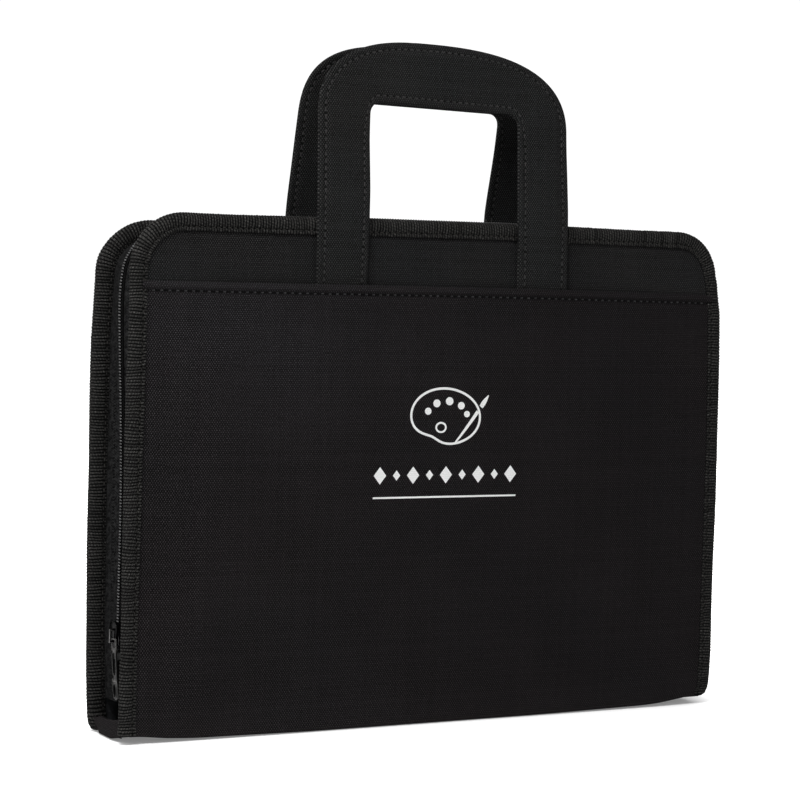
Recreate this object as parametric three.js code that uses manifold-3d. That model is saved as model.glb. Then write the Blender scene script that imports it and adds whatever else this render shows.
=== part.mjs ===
// Zip-around portfolio case with two carrying handles, standing closed on its spine.
// Millimetres, +Z up. X runs along the width, -Y is the front, the origin is the middle of the spine's underside.
// Two padded covers are hinged along the long lower edge to a narrow spine. Each cover is a stack of outer canvas,
// foam, stiffener board and lining, closed at its left, top and right edges by a folded ribbed binding that also
// holds one half of the zip. A slip pocket covers the outside of each cover and hides the ends of the handle.
import * as THREE from "three";
import { mergeVertices } from "three/addons/utils/BufferGeometryUtils.js";
import Module from "manifold-3d";

const wasm = await Module();
wasm.setup();

// ---- driving dimensions -------------------------------------------------------------------------------------
const WIDTH = 368; // outside of the bindings
const HEIGHT = 270; // spine underside to the top binding
const DEPTH = 45; // outside of the covers at the spine
const CORNER_R = 30; // top corners
const COVER_LEAN = 0.75; // degrees each cover leans inward, so the case is thinner at the top
const COVER_FOOT = 3.0; // lower edge of the covers above the ground
const BIND_FACE = 9.0; // width of the binding on the outer face
const BIND_INNER = 8.0; // width of the binding on the inner face
const BIND_T = 0.6; // binding tape thickness
const WALL = 9.8; // how far the zip stands in from the edges of the covers
const TAPE_T = 0.6; // zip tape thickness
const TAPE_END = 18; // height where the zip tapes end above the spine
const COIL_END = 44.3; // height where the coils end, at their stops
const ZIP_GAP = 0.7; // half the gap between the two coils
const COIL_W = 2.4; // width of one coil
const HEM_Z = 235; // mouth of the outer pockets
const HEM_H = 6.2;
const HANDLE_HALF = 78; // half the outer width of a handle
const HANDLE_BAND = 31; // width of a handle leg
const HANDLE_TOP = 364.4; // top of the handle before it leans
const HAND_TOP = 331.4; // top of the hand opening
const HANDLE_FOOT = 235.8; // where the loose part of a handle starts, just above the pocket mouth
const BEND_Z = 272; // above the top binding a handle leans in towards the other one
const LEAN_FRONT = 2.5; // degrees
const LEAN_BACK = 10.5; // degrees
const TAB_FOOT = 175; // lower end of the sewn-down handle legs inside the pocket

// Layers of a cover as distances out from the mid-plane of the case at the hinge: inner face, outer face.
const OUT = DEPTH / 2;
const layer = (inner, outer) => [OUT + inner, OUT + outer];
const L = {
  bindOut: layer(-0.6, 0),
  canvas: layer(-1.5, -0.8),
  board: layer(-3.2, -1.7),
  lining: layer(-3.8, -3.4),
  innerPocket: layer(-4.4, -4.0),
  tapeFlange: layer(-4.4, -4.0),
  bindIn: layer(-5.2, -4.6),
  tab: layer(1.2, 3.4),
  handleBack: layer(1.1, 2.0),
  handleCore: layer(2.2, 3.3),
  handleFace: layer(3.5, 4.4),
};

const mat = (hex, roughness, metalness = 0) =>
  new THREE.MeshStandardMaterial({ color: hex, roughness, metalness });
const canvasMat = mat(0x1b1b1c, 0.9);
const bindingMat = mat(0x242220, 0.8);
const liningMat = mat(0x1f2022, 0.75);
const boardMat = mat(0x6f6a60, 0.95);
const foamMat = mat(0x3a3b3d, 0.95);
const tapeMat = mat(0x1c1c1d, 0.85);
const coilMat = mat(0x222222, 0.4);
const metalMat = mat(0x2a2a2c, 0.35, 0.8);
const coreMat = mat(0x33353a, 0.95);

// ---- helpers ----------------------------------------------------------------------------------------------
function toSolid(geometry) {
  const g = geometry.clone();
  g.deleteAttribute("normal");
  g.deleteAttribute("uv");
  const m = mergeVertices(g, 1e-4);
  return new wasm.Manifold(
    new wasm.Mesh({
      numProp: 3,
      vertProperties: new Float32Array(m.attributes.position.array),
      triVerts: new Uint32Array(m.index.array),
    }),
  );
}
function fromSolid(solid) {
  const m = solid.getMesh();
  const n = m.numProp;
  const v = new Float32Array(m.numVert * 3);
  for (let i = 0; i < m.numVert; i++)
    v.set(m.vertProperties.subarray(i * n, i * n + 3), i * 3);
  const g = new THREE.BufferGeometry();
  g.setAttribute("position", new THREE.BufferAttribute(v, 3));
  g.setIndex(new THREE.BufferAttribute(new Uint32Array(m.triVerts), 1));
  g.computeVertexNormals();
  return g;
}
const union = (...gs) => fromSolid(gs.map(toSolid).reduce((a, b) => a.add(b)));
const cut = (a, ...gs) =>
  fromSolid(gs.map(toSolid).reduce((s, b) => s.subtract(b), toSolid(a)));

function box(x0, x1, y0, y1, z0, z1) {
  return new THREE.BoxGeometry(x1 - x0, y1 - y0, z1 - z0).translate(
    (x0 + x1) / 2,
    (y0 + y1) / 2,
    (z0 + z1) / 2,
  );
}
// A shape drawn in X and Z, given thickness from y0 to y1.
function plate(shape, y0, y1) {
  return new THREE.ExtrudeGeometry(shape, {
    depth: y1 - y0,
    bevelEnabled: false,
  })
    .rotateX(Math.PI / 2)
    .translate(0, y1, 0);
}
// A shape drawn in Y and Z, given thickness from x0 to x1.
function plateX(shape, x0, x1) {
  return new THREE.ExtrudeGeometry(shape, {
    depth: x1 - x0,
    bevelEnabled: false,
    curveSegments: 8,
  })
    .rotateY(Math.PI / 2)
    .rotateX(Math.PI / 2)
    .translate(x0, 0, 0);
}
// Points up the left edge, over both top corners and down the right edge, at a distance inside the outline.
function rimPath(inset, foot, segments = 6) {
  const x = WIDTH / 2,
    r = CORNER_R - inset,
    pts = [[-x + inset, foot]];
  for (let i = 0; i <= segments; i++) {
    const a = Math.PI - (i / segments) * (Math.PI / 2);
    pts.push([-x + CORNER_R + r * Math.cos(a), HEIGHT - CORNER_R + r * Math.sin(a)]);
  }
  for (let i = 0; i <= segments; i++) {
    const a = Math.PI / 2 - (i / segments) * (Math.PI / 2);
    pts.push([x - CORNER_R + r * Math.cos(a), HEIGHT - CORNER_R + r * Math.sin(a)]);
  }
  pts.push([x - inset, foot]);
  return pts;
}
const polygon = (pts) => new THREE.Shape(pts.map(([a, b]) => new THREE.Vector2(a, b)));
const panelShape = (inset, foot) => polygon(rimPath(inset, foot));
const bandShape = (outer, inner, foot) =>
  polygon([...rimPath(outer, foot), ...rimPath(inner, foot).reverse()]);
const rect = (x0, x1, z0, z1) =>
  polygon([
    [x0, z0],
    [x0, z1],
    [x1, z1],
    [x1, z0],
  ]);

// A closed sheet between two surfaces given on the same grid of rows and columns.
function sheet(rows, front, back) {
  const pos = [],
    idx = [],
    nr = rows.length,
    nc = rows[0].length;
  for (const f of [front, back])
    for (const row of rows) for (const [x, z] of row) pos.push(x, f(x, z), z);
  const F = (r, c) => r * nc + c,
    B = (r, c) => nr * nc + r * nc + c;
  const quad = (a, b, c, d) => idx.push(a, b, c, a, c, d);
  for (let r = 0; r < nr - 1; r++)
    for (let c = 0; c < nc - 1; c++) {
      quad(F(r, c), F(r, c + 1), F(r + 1, c + 1), F(r + 1, c));
      quad(B(r, c), B(r + 1, c), B(r + 1, c + 1), B(r, c + 1));
    }
  for (let c = 0; c < nc - 1; c++) {
    quad(F(0, c), B(0, c), B(0, c + 1), F(0, c + 1));
    quad(F(nr - 1, c), F(nr - 1, c + 1), B(nr - 1, c + 1), B(nr - 1, c));
  }
  for (let r = 0; r < nr - 1; r++) {
    quad(F(r, 0), F(r + 1, 0), B(r + 1, 0), B(r, 0));
    quad(F(r, nc - 1), B(r, nc - 1), B(r + 1, nc - 1), F(r + 1, nc - 1));
  }
  const g = new THREE.BufferGeometry();
  g.setAttribute("position", new THREE.Float32BufferAttribute(pos, 3));
  g.setIndex(idx);
  g.computeVertexNormals();
  return g;
}

// ---- crowned outer faces ----------------------------------------------------------------------------------
const ease = (t) => {
  const c = Math.min(1, Math.max(0, t));
  return c * c * (3 - 2 * c);
};
const PAD = 1.6; // how far the padding lifts the canvas
const BULGE = 2.7; // how far the pocket stands off the canvas over the handle ends
const padding = (x, z) =>
  PAD *
  ease((WIDTH / 2 - BIND_FACE - Math.abs(x)) / 45) *
  ease((z - 6) / 30) *
  ease((HEIGHT - BIND_FACE - z) / 30);
const pocketLift = (x, z) =>
  BULGE * ease((HALF_POCKET - Math.abs(x)) / 90) * ease((z - COVER_FOOT) / 150);
const TRIM = 0.9; // the panels stop this far inside the binding's fold
const HALF_PANEL = WIDTH / 2 - TRIM;
const HALF_POCKET = WIDTH / 2 - BIND_FACE - 0.8;
const POCKET_COLS = [-1, -0.9, -0.69, -0.48, -0.26, 0, 0.26, 0.48, 0.69, 0.9, 1].map(
  (f) => f * HALF_POCKET,
);
const COLS = [-HALF_PANEL, ...POCKET_COLS, HALF_PANEL];
const ROWS = [COVER_FOOT, 12, 20, 50, 100, 160, 205, 240, 250, 258, 264, 267.5, HEIGHT - TRIM];
const halfWidth = (z) =>
  z <= HEIGHT - CORNER_R
    ? HALF_PANEL
    : WIDTH / 2 -
      CORNER_R +
      Math.sqrt(Math.max(0, (CORNER_R - TRIM) ** 2 - (z - (HEIGHT - CORNER_R)) ** 2));
const grid = (rows, cols) =>
  rows.map((z) => cols.map((x) => [(x * halfWidth(z)) / HALF_PANEL, z]));

// ---- handle -----------------------------------------------------------------------------------------------
function handleLines() {
  const o = [],
    n = [];
  const inX = HANDLE_HALF - HANDLE_BAND;
  for (const z of [HANDLE_FOOT, 254, BEND_Z, 300, 318]) {
    o.push([-HANDLE_HALF, z]);
    n.push([-inX, z]);
  }
  const curve = new THREE.CubicBezierCurve(
    new THREE.Vector2(-HANDLE_HALF, 326),
    new THREE.Vector2(-HANDLE_HALF, 355),
    new THREE.Vector2(-56, HANDLE_TOP - 0.6),
    new THREE.Vector2(0, HANDLE_TOP),
  );
  const r = 8;
  for (let i = 0; i <= 8; i++) {
    const p = curve.getPoint(i / 8);
    o.push([p.x, p.y]);
    if (i <= 4) {
      const a = Math.PI - (i / 4) * (Math.PI / 2);
      n.push([-inX + r + r * Math.cos(a), HAND_TOP - r + r * Math.sin(a)]);
    } else n.push([(-inX + r) * (1 - (i - 4) / 4), HAND_TOP]);
  }
  const mirror = (pts) =>
    pts
      .slice(0, -1)
      .reverse()
      .map(([x, z]) => [-x, z]);
  return [
    [...o, ...mirror(o)],
    [...n, ...mirror(n)],
  ];
}
function handleLayer([y0, y1], lean, trim = 0) {
  const [o, n] = handleLines();
  const k = Math.tan((lean * Math.PI) / 180);
  const rows = o.map((p, i) => {
    const q = n[i],
      dx = q[0] - p[0],
      dz = q[1] - p[1],
      d = Math.hypot(dx, dz);
    const foot = i === 0 || i === o.length - 1 ? trim : 0;
    return [
      [p[0] + (dx / d) * trim, p[1] + (dz / d) * trim + foot],
      [q[0] - (dx / d) * trim, q[1] - (dz / d) * trim + foot],
    ];
  });
  const shift = (z) => k * Math.max(0, z - BEND_Z);
  return sheet(
    rows,
    (x, z) => -y1 + shift(z),
    (x, z) => -y0 + shift(z),
  );
}

// ---- one cover, drawn as the front one ---------------------------------------------------------------------
const deg = Math.PI / 180;
function leanGroup() {
  const outer = new THREE.Group();
  outer.position.y = -DEPTH / 2;
  outer.rotation.x = -COVER_LEAN * deg;
  const inner = new THREE.Group();
  inner.position.y = DEPTH / 2;
  outer.add(inner);
  outer.userData.inner = inner;
  return outer;
}
function lean(geometry) {
  return geometry
    .translate(0, DEPTH / 2, 0)
    .rotateX(-COVER_LEAN * deg)
    .translate(0, -DEPTH / 2, 0);
}
const neg = ([a, b]) => [-b, -a];

function buildCover(side, handleLean, innerPocketTop) {
  const cover = new THREE.Group();
  const leaning = leanGroup();
  cover.add(leaning);
  const add = (group, name, geometry, material) => {
    const m = new THREE.Mesh(geometry, material);
    m.name = `${side}_${name}`;
    group.add(m);
  };
  const tilted = leaning.userData.inner;

  add(
    tilted,
    "canvas_panel",
    sheet(
      grid(ROWS, COLS),
      (x, z) => -L.canvas[1] - padding(x, z),
      (x, z) => -L.canvas[0] - padding(x, z),
    ),
    canvasMat,
  );
  add(
    tilted,
    "foam_pad",
    sheet(
      grid([20, 50, 100, 160, 205, 240], COLS.slice(2, -2)),
      (x, z) => -L.canvas[0] + 0.2 - padding(x, z),
      () => -L.canvas[0],
    ),
    foamMat,
  );
  add(tilted, "stiffener_board", plate(panelShape(TRIM, COVER_FOOT), ...neg(L.board)), boardMat);
  add(tilted, "lining", plate(panelShape(TRIM, COVER_FOOT), ...neg(L.lining)), liningMat);
  add(
    tilted,
    "inner_pocket",
    plate(rect(-HALF_POCKET + 9, HALF_POCKET - 9, 4, innerPocketTop), ...neg(L.innerPocket)),
    liningMat,
  );
  add(
    tilted,
    "edge_binding",
    union(
      plate(bandShape(0, BIND_FACE, COVER_FOOT), ...neg(L.bindOut)),
      plate(bandShape(0, BIND_T, COVER_FOOT), -L.bindOut[1], -L.bindIn[0]),
      plate(bandShape(0, BIND_INNER, COVER_FOOT), ...neg(L.bindIn)),
    ),
    bindingMat,
  );
  const pocketIn = (x, z) => -L.canvas[1] - 0.3 - padding(x, z) - pocketLift(x, z);
  add(
    tilted,
    "outer_pocket",
    sheet(
      grid([COVER_FOOT, 12, 20, 50, 100, 160, 205, HEM_Z - HEM_H - 0.3], POCKET_COLS),
      (x, z) => pocketIn(x, z) - 0.6,
      pocketIn,
    ),
    canvasMat,
  );
  add(
    tilted,
    "pocket_hem",
    sheet(
      grid([HEM_Z - HEM_H, HEM_Z], POCKET_COLS),
      (x) => pocketIn(x, HEM_Z - HEM_H) - 1.2,
      (x) => pocketIn(x, HEM_Z - HEM_H),
    ),
    canvasMat,
  );
  const inX = HANDLE_HALF - HANDLE_BAND;
  for (const [name, s] of [
    ["left", -1],
    ["right", 1],
  ])
    add(
      tilted,
      `handle_tab_${name}`,
      plate(
        rect(Math.min(s * inX, s * HANDLE_HALF), Math.max(s * inX, s * HANDLE_HALF), TAB_FOOT, HEM_Z),
        ...neg(L.tab),
      ),
      canvasMat,
    );

  // The zip half stands in from the cover's edge. Its free edge is square to the ground, so it is cut after leaning.
  const tape = lean(
    union(
      plate(bandShape(3, WALL + TAPE_T, TAPE_END), ...neg(L.tapeFlange)),
      plate(bandShape(WALL, WALL + TAPE_T, TAPE_END), -L.tapeFlange[1], 4),
    ),
  );
  add(cover, "zip_tape", cut(tape, box(-200, 200, -ZIP_GAP, 20, 0, 300)), tapeMat);
  add(
    cover,
    "zip_coil",
    plate(bandShape(WALL - 2.2, WALL - 0.2, COIL_END), -ZIP_GAP - COIL_W, -ZIP_GAP),
    coilMat,
  );
  for (const [name, s] of [
    ["left", -1],
    ["right", 1],
  ])
    add(
      cover,
      `zip_stop_${name}`,
      box(
        Math.min(s * (WIDTH / 2 - WALL + 2.4), s * (WIDTH / 2 - WALL + 0.2)),
        Math.max(s * (WIDTH / 2 - WALL + 2.4), s * (WIDTH / 2 - WALL + 0.2)),
        -ZIP_GAP - COIL_W,
        -ZIP_GAP,
        COIL_END - 3.8,
        COIL_END - 0.3,
      ),
      metalMat,
    );

  // The carrying handle: two canvas skins over a stiff core.
  const handle = leanGroup();
  cover.add(handle);
  const h = handle.userData.inner;
  add(h, "handle_face", handleLayer(L.handleFace, handleLean), canvasMat);
  add(h, "handle_core", handleLayer(L.handleCore, handleLean, 2), coreMat);
  add(h, "handle_backing", handleLayer(L.handleBack, handleLean), canvasMat);
  return cover;
}

const root = new THREE.Group();
root.add(buildCover("front", LEAN_FRONT, 190));
const back = buildCover("back", LEAN_BACK, 150);
back.rotation.z = Math.PI;
root.add(back);

// ---- spine ------------------------------------------------------------------------------------------------
const addRoot = (name, geometry, material) => {
  const m = new THREE.Mesh(geometry, material);
  m.name = name;
  root.add(m);
};
const END_H = 13; // the spine canvas turns up between the covers at each end, below the zip tapes
const endFlap = (s) =>
  box(
    Math.min(s * (WIDTH / 2 - 4.2), s * (WIDTH / 2 - 3.5)),
    Math.max(s * (WIDTH / 2 - 4.2), s * (WIDTH / 2 - 3.5)),
    6.3 - OUT,
    OUT - 6.3,
    0,
    END_H,
  );
addRoot(
  "spine_canvas",
  union(
    box(3.5 - WIDTH / 2, WIDTH / 2 - 3.5, 0.2 - OUT, OUT - 0.2, 0, 0.7),
    endFlap(-1),
    endFlap(1),
  ),
  canvasMat,
);
addRoot("spine_board", box(6 - WIDTH / 2, WIDTH / 2 - 6, 3 - OUT, OUT - 3, 0.9, 2.1), boardMat);
addRoot("spine_lining", box(5 - WIDTH / 2, WIDTH / 2 - 5, 1.5 - OUT, OUT - 1.5, 2.3, 2.7), liningMat);

// ---- zip slider at the foot of the left side ---------------------------------------------------------------
const SX = WALL - 8.2 - WIDTH / 2; // the slider's plates lie either side of the zip, its bridge 6.7 mm outside it
const SLIDER_Z = 53.5;
const wing = polygon([
  [-3.1, -6.4],
  [-4.6, -4.6],
  [-4.6, 0.5],
  [-3.3, 5.2],
  [-1.6, 6.4],
  [1.6, 6.4],
  [3.3, 5.2],
  [4.6, 0.5],
  [4.6, -4.6],
  [3.1, -6.4],
]);
const wingPlate = (r0, r1) => plateX(wing, SX + r0, SX + r1).translate(0, 0, SLIDER_Z);
addRoot(
  "zip_slider_body",
  union(
    wingPlate(3.9, 5.5),
    box(SX + 5.4, SX + 9.2, -0.45, 0.45, SLIDER_Z - 4, SLIDER_Z + 4.6),
    wingPlate(9.1, 10.3),
    box(SX + 1.5, SX + 2.6, -1.2, 1.2, SLIDER_Z - 4.4, SLIDER_Z + 4.6),
    box(SX + 1.6, SX + 4.2, -1.2, 1.2, SLIDER_Z - 4.4, SLIDER_Z - 3.2),
    box(SX + 1.6, SX + 4.2, -1.2, 1.2, SLIDER_Z + 3.2, SLIDER_Z + 4.6),
  ),
  metalMat,
);
// The pull hangs from a cross-pin under the slider's bridge; its arms pass either side of the bridge.
const PIN_Z = SLIDER_Z - 2.2;
const PIN_X = SX + 3.25;
const pullPlate = (pts, hole) => {
  const s = polygon(pts);
  if (hole) s.holes.push(hole);
  return plateX(s, PIN_X - 0.5, PIN_X + 0.4).translate(0, 0, PIN_Z);
};
const ringHole = new THREE.Path();
ringHole.absellipse(0, -26.5, 1.9, 2.6, 0, Math.PI * 2, true);
addRoot(
  "zip_pull_tab",
  union(
    box(PIN_X - 0.5, PIN_X + 0.4, -2.9, 2.9, PIN_Z - 0.45, PIN_Z + 0.45),
    box(PIN_X - 0.5, PIN_X + 0.4, -2.9, -1.6, PIN_Z - 5.2, PIN_Z + 0.45),
    box(PIN_X - 0.5, PIN_X + 0.4, 1.6, 2.9, PIN_Z - 5.2, PIN_Z + 0.45),
    pullPlate(
      [
        [-2.9, -4.6],
        [2.9, -4.6],
        [2.6, -9],
        [2.6, -20],
        [3.6, -24],
        [3.6, -29],
        [2.2, -31.2],
        [-2.2, -31.2],
        [-3.6, -29],
        [-3.6, -24],
        [-2.6, -20],
        [-2.6, -9],
      ].reverse(),
      ringHole,
    ),
  ),
  metalMat,
);

export default root;
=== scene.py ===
import math

import bmesh
import bpy
import numpy as np
from mathutils import Matrix, Vector
from mathutils.geometry import tessellate_polygon


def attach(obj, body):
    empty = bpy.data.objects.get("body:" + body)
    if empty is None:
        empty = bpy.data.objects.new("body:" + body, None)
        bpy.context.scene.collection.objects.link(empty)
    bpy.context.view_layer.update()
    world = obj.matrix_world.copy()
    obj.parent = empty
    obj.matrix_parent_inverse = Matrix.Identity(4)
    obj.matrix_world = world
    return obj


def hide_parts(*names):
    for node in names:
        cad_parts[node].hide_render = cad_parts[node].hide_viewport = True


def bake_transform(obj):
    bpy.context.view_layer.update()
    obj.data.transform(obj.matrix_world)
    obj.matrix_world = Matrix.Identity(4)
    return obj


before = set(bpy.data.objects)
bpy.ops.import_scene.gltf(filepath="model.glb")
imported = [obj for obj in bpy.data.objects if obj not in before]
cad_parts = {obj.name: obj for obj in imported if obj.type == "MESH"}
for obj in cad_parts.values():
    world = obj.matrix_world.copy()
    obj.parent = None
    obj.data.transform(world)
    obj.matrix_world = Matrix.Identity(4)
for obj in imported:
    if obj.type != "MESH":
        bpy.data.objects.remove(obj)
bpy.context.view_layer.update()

# ---- sizes, in millimetres, the same frame as the CAD part -----------------------------------------------------
HALF_W, HEIGHT, OUT, RAD = 184.0, 270.0, 22.5, 30.0
LEAN = math.radians(0.75)
FOOT = 3.9  # lower end of the bindings
HEM_Z = 235.0
RIB = 1.62
ZIP_LOW, ZIP_END = 44.3, 18.0
PI = math.pi


def ease(t):
    t = np.clip(t, 0, 1)
    return t * t * (3 - 2 * t)


def wav(x, z):
    """Slow unevenness shared by every layer of a cover, so that they stay in order."""
    a = 0.5 * np.sin(x / 37 + 1.3) * np.sin(z / 41 + 0.4)
    b = 0.3 * np.sin(x / 19 - z / 53 + 2.1)
    c = 0.2 * np.sin(z / 23 + x / 71 + 0.7)
    return 0.32 * (a + b + c) * ease(z / 40)


def place(side, x, d, z):
    """Points on a cover: x along the width, d out from the outer plane, z up. Returns world metres."""
    x, d, z = np.broadcast_arrays(
        np.asarray(x, float), np.asarray(d, float), np.asarray(z, float)
    )
    t = ease(z / 270)
    g = np.minimum(np.abs(x) / HALF_W, 1) ** 2
    dd = d + t * t * (5.5 * g - 2.5) + wav(x * (1 if side == "front" else -1), z)
    bow = np.cos(PI * np.clip((x - 30) / 368, -0.5, 0.5)) ** 2
    zz = z + 1.0 * bow * ease((z - 200) / 60) * (1 - ease((z - 280) / 30)) + 1.3 * ease(z / 260)
    if side == "back":
        zz = zz - 4.2 * ease((z - 20) / 200) * (1 - ease((z - 236) / 40) * ease((120 - np.abs(x)) / 30))
    y = -dd * math.cos(LEAN) + zz * math.sin(LEAN)
    z2 = dd * math.sin(LEAN) + zz * math.cos(LEAN)
    y = y - OUT
    xx = x.copy()
    if side == "front":
        out = np.interp(
            z,
            [0, 3, 6, 9, 12, 29, 58, 88, 117, 146, 175, 203, 225, 235, 246, 256, 268],
            [-5.5, -3.2, -1.3, 0.2, 0.9, 1.7, 1.5, 1.5, 1.5, 1.2, 0.5, -0.5, -1.5, -3.2, -4.7, -3.6, -1.6],
        )
        xx = xx + (out + 1.1) * ease((x - 110) / 70)
        xx = xx + np.interp(z, [0, 4, 10, 40, 90, 160], [2.0, 1.3, 0.8, 0.8, 1.1, 1.4]) * ease((-x - 90) / 80)
        xx = xx + np.interp(z, [0, 60, 110, 160, 225], [1.2, 1.25, 0.8, 0.15, 0.7]) * ease((-x - 174) / 10) * ease(z / 12) * (1 - ease((z - 215) / 35))
    else:
        y = -y
        out = np.interp(
            z,
            [0, 1.5, 4, 7, 15, 26, 41, 57, 88, 120, 167, 208, 229, 241, 251, 262],
            [4.5, 2.9, 1.5, 0.9, 0.2, -0.4, -1.1, -1.5, -2.0, -2.4, -2.6, -2.6, -1.6, -1.1, -1.6, -1.1],
        )
        xx = xx + out * ease((-x - 60) / 110)
    return np.stack([xx, y, z2], -1) / 1000


def rim(s, inset, foot=FOOT, radius=RAD):
    """A point on the open outline of a cover, s mm along it from the lower left, and its inward direction."""
    s = np.asarray(s, float)
    up = HEIGHT - radius - foot
    arc = (radius - 4.0) * PI / 2
    top = 2 * (HALF_W - radius)
    x, z = np.zeros_like(s), np.zeros_like(s)
    nx, nz = np.zeros_like(s), np.zeros_like(s)
    a = s < up
    x[a], z[a], nx[a], nz[a] = -HALF_W, foot + s[a], 1, 0
    b = (s >= up) & (s < up + arc)
    th = PI - (s[b] - up) / arc * PI / 2
    x[b] = -(HALF_W - radius) + radius * np.cos(th)
    z[b] = HEIGHT - radius + radius * np.sin(th)
    nx[b], nz[b] = -np.cos(th), -np.sin(th)
    c = (s >= up + arc) & (s < up + arc + top)
    x[c], z[c], nx[c], nz[c] = -(HALF_W - radius) + (s[c] - up - arc), HEIGHT, 0, -1
    e = (s >= up + arc + top) & (s < up + 2 * arc + top)
    th = PI / 2 - (s[e] - up - arc - top) / arc * PI / 2
    x[e] = (HALF_W - radius) + radius * np.cos(th)
    z[e] = HEIGHT - radius + radius * np.sin(th)
    nx[e], nz[e] = -np.cos(th), -np.sin(th)
    f = s >= up + 2 * arc + top
    x[f], z[f] = HALF_W, HEIGHT - radius - (s[f] - up - 2 * arc - top)
    nx[f], nz[f] = -1, 0
    return x, z, nx, nz


UP = HEIGHT - RAD - FOOT
ARC = (RAD - 4.0) * PI / 2
TOP = 2 * (HALF_W - RAD)
RIM_LENGTH = 2 * UP + 2 * ARC + TOP


def sag(x, side="front"):
    """The middle of the lower edge rests on the ground; the ends stand a little clear of it."""
    a = np.abs(x)
    up = 0.9 * ease((a - 60) / 90) + 1.9 * ease((a - 135) / 45)
    if side == "front":
        up = up + 1.4 * ease((x - 150) / 26) + 0.8 * ease((-x - 155) / 20)
    return up * (1.0 if side == "front" else 0.35)


def padding(x, z):
    return (
        1.6 * ease((175 - np.abs(x)) / 45) * ease((z - 6) / 30) * ease((261 - z) / 30)
    )


def pocket_lift(x, z):
    return 2.7 * ease((174.2 - np.abs(x)) / 90) * ease((z - 3) / 150)


# ---- mesh building ---------------------------------------------------------------------------------------------
def make(name, verts, faces, uv=None, attrs=None, sharp=52, fix=True):
    me = bpy.data.meshes.new(name)
    me.from_pydata(np.asarray(verts).tolist(), [], faces)
    if fix:
        bm = bmesh.new()
        bm.from_mesh(me)
        bmesh.ops.recalc_face_normals(bm, faces=bm.faces)
        bm.to_mesh(me)
        bm.free()
    index = np.zeros(len(me.loops), np.int32)
    me.loops.foreach_get("vertex_index", index)
    if uv is not None:
        layer = me.uv_layers.new(name="mm")
        layer.data.foreach_set("uv", np.asarray(uv, np.float32)[index].ravel())
    for key, values in (attrs or {}).items():
        at = me.attributes.new(key, "FLOAT", "POINT")
        at.data.foreach_set("value", np.asarray(values, np.float32).ravel())
    me.polygons.foreach_set("use_smooth", np.ones(len(me.polygons), bool))
    me.set_sharp_from_angle(angle=math.radians(sharp))
    me.update()
    ob = bpy.data.objects.new(name, me)
    bpy.context.scene.collection.objects.link(ob)
    return ob


def quads(idx, wrap):
    a = idx[:-1] if wrap else idx[:-1, :-1]
    b = np.roll(idx, -1, 1)[:-1] if wrap else idx[:-1, 1:]
    c = np.roll(idx, -1, 1)[1:] if wrap else idx[1:, 1:]
    d = idx[1:] if wrap else idx[1:, :-1]
    return np.stack([a, b, c, d], -1).reshape(-1, 4).tolist()


def loft(name, rings, uv, attrs=None, sharp=52):
    """A closed body from closed cross-sections, rings[k][p], with flat ends."""
    k, p, _ = rings.shape
    idx = np.arange(k * p).reshape(k, p)
    faces = quads(idx, True) + [idx[0][::-1].tolist(), idx[-1].tolist()]
    return make(
        name, rings.reshape(-1, 3), faces, uv.reshape(-1, 2), attrs, sharp
    )


def slab(name, a, b, uv, attrs=None, sharp=52):
    """A closed body between two grids of points, a[r][c] and b[r][c]."""
    r, c, _ = a.shape
    n = r * c
    ia = np.arange(n).reshape(r, c)
    ib = ia + n
    faces = quads(ia, False) + [f[::-1] for f in quads(ib, False)]
    edge = np.concatenate([ia[0], ia[1:, -1], ia[-1, -2::-1], ia[-2:0:-1, 0]])
    nxt = np.roll(edge, -1)
    faces += np.stack([edge, edge + n, nxt + n, nxt], -1).tolist()
    both = np.concatenate([uv.reshape(-1, 2)] * 2)
    return make(
        name,
        np.concatenate([a.reshape(-1, 3), b.reshape(-1, 3)]),
        faces,
        both,
        attrs,
        sharp,
    )


def frames(points):
    """Tangents of a polyline."""
    t = np.gradient(points, axis=0)
    return t / np.linalg.norm(t, axis=1, keepdims=True)


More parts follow.
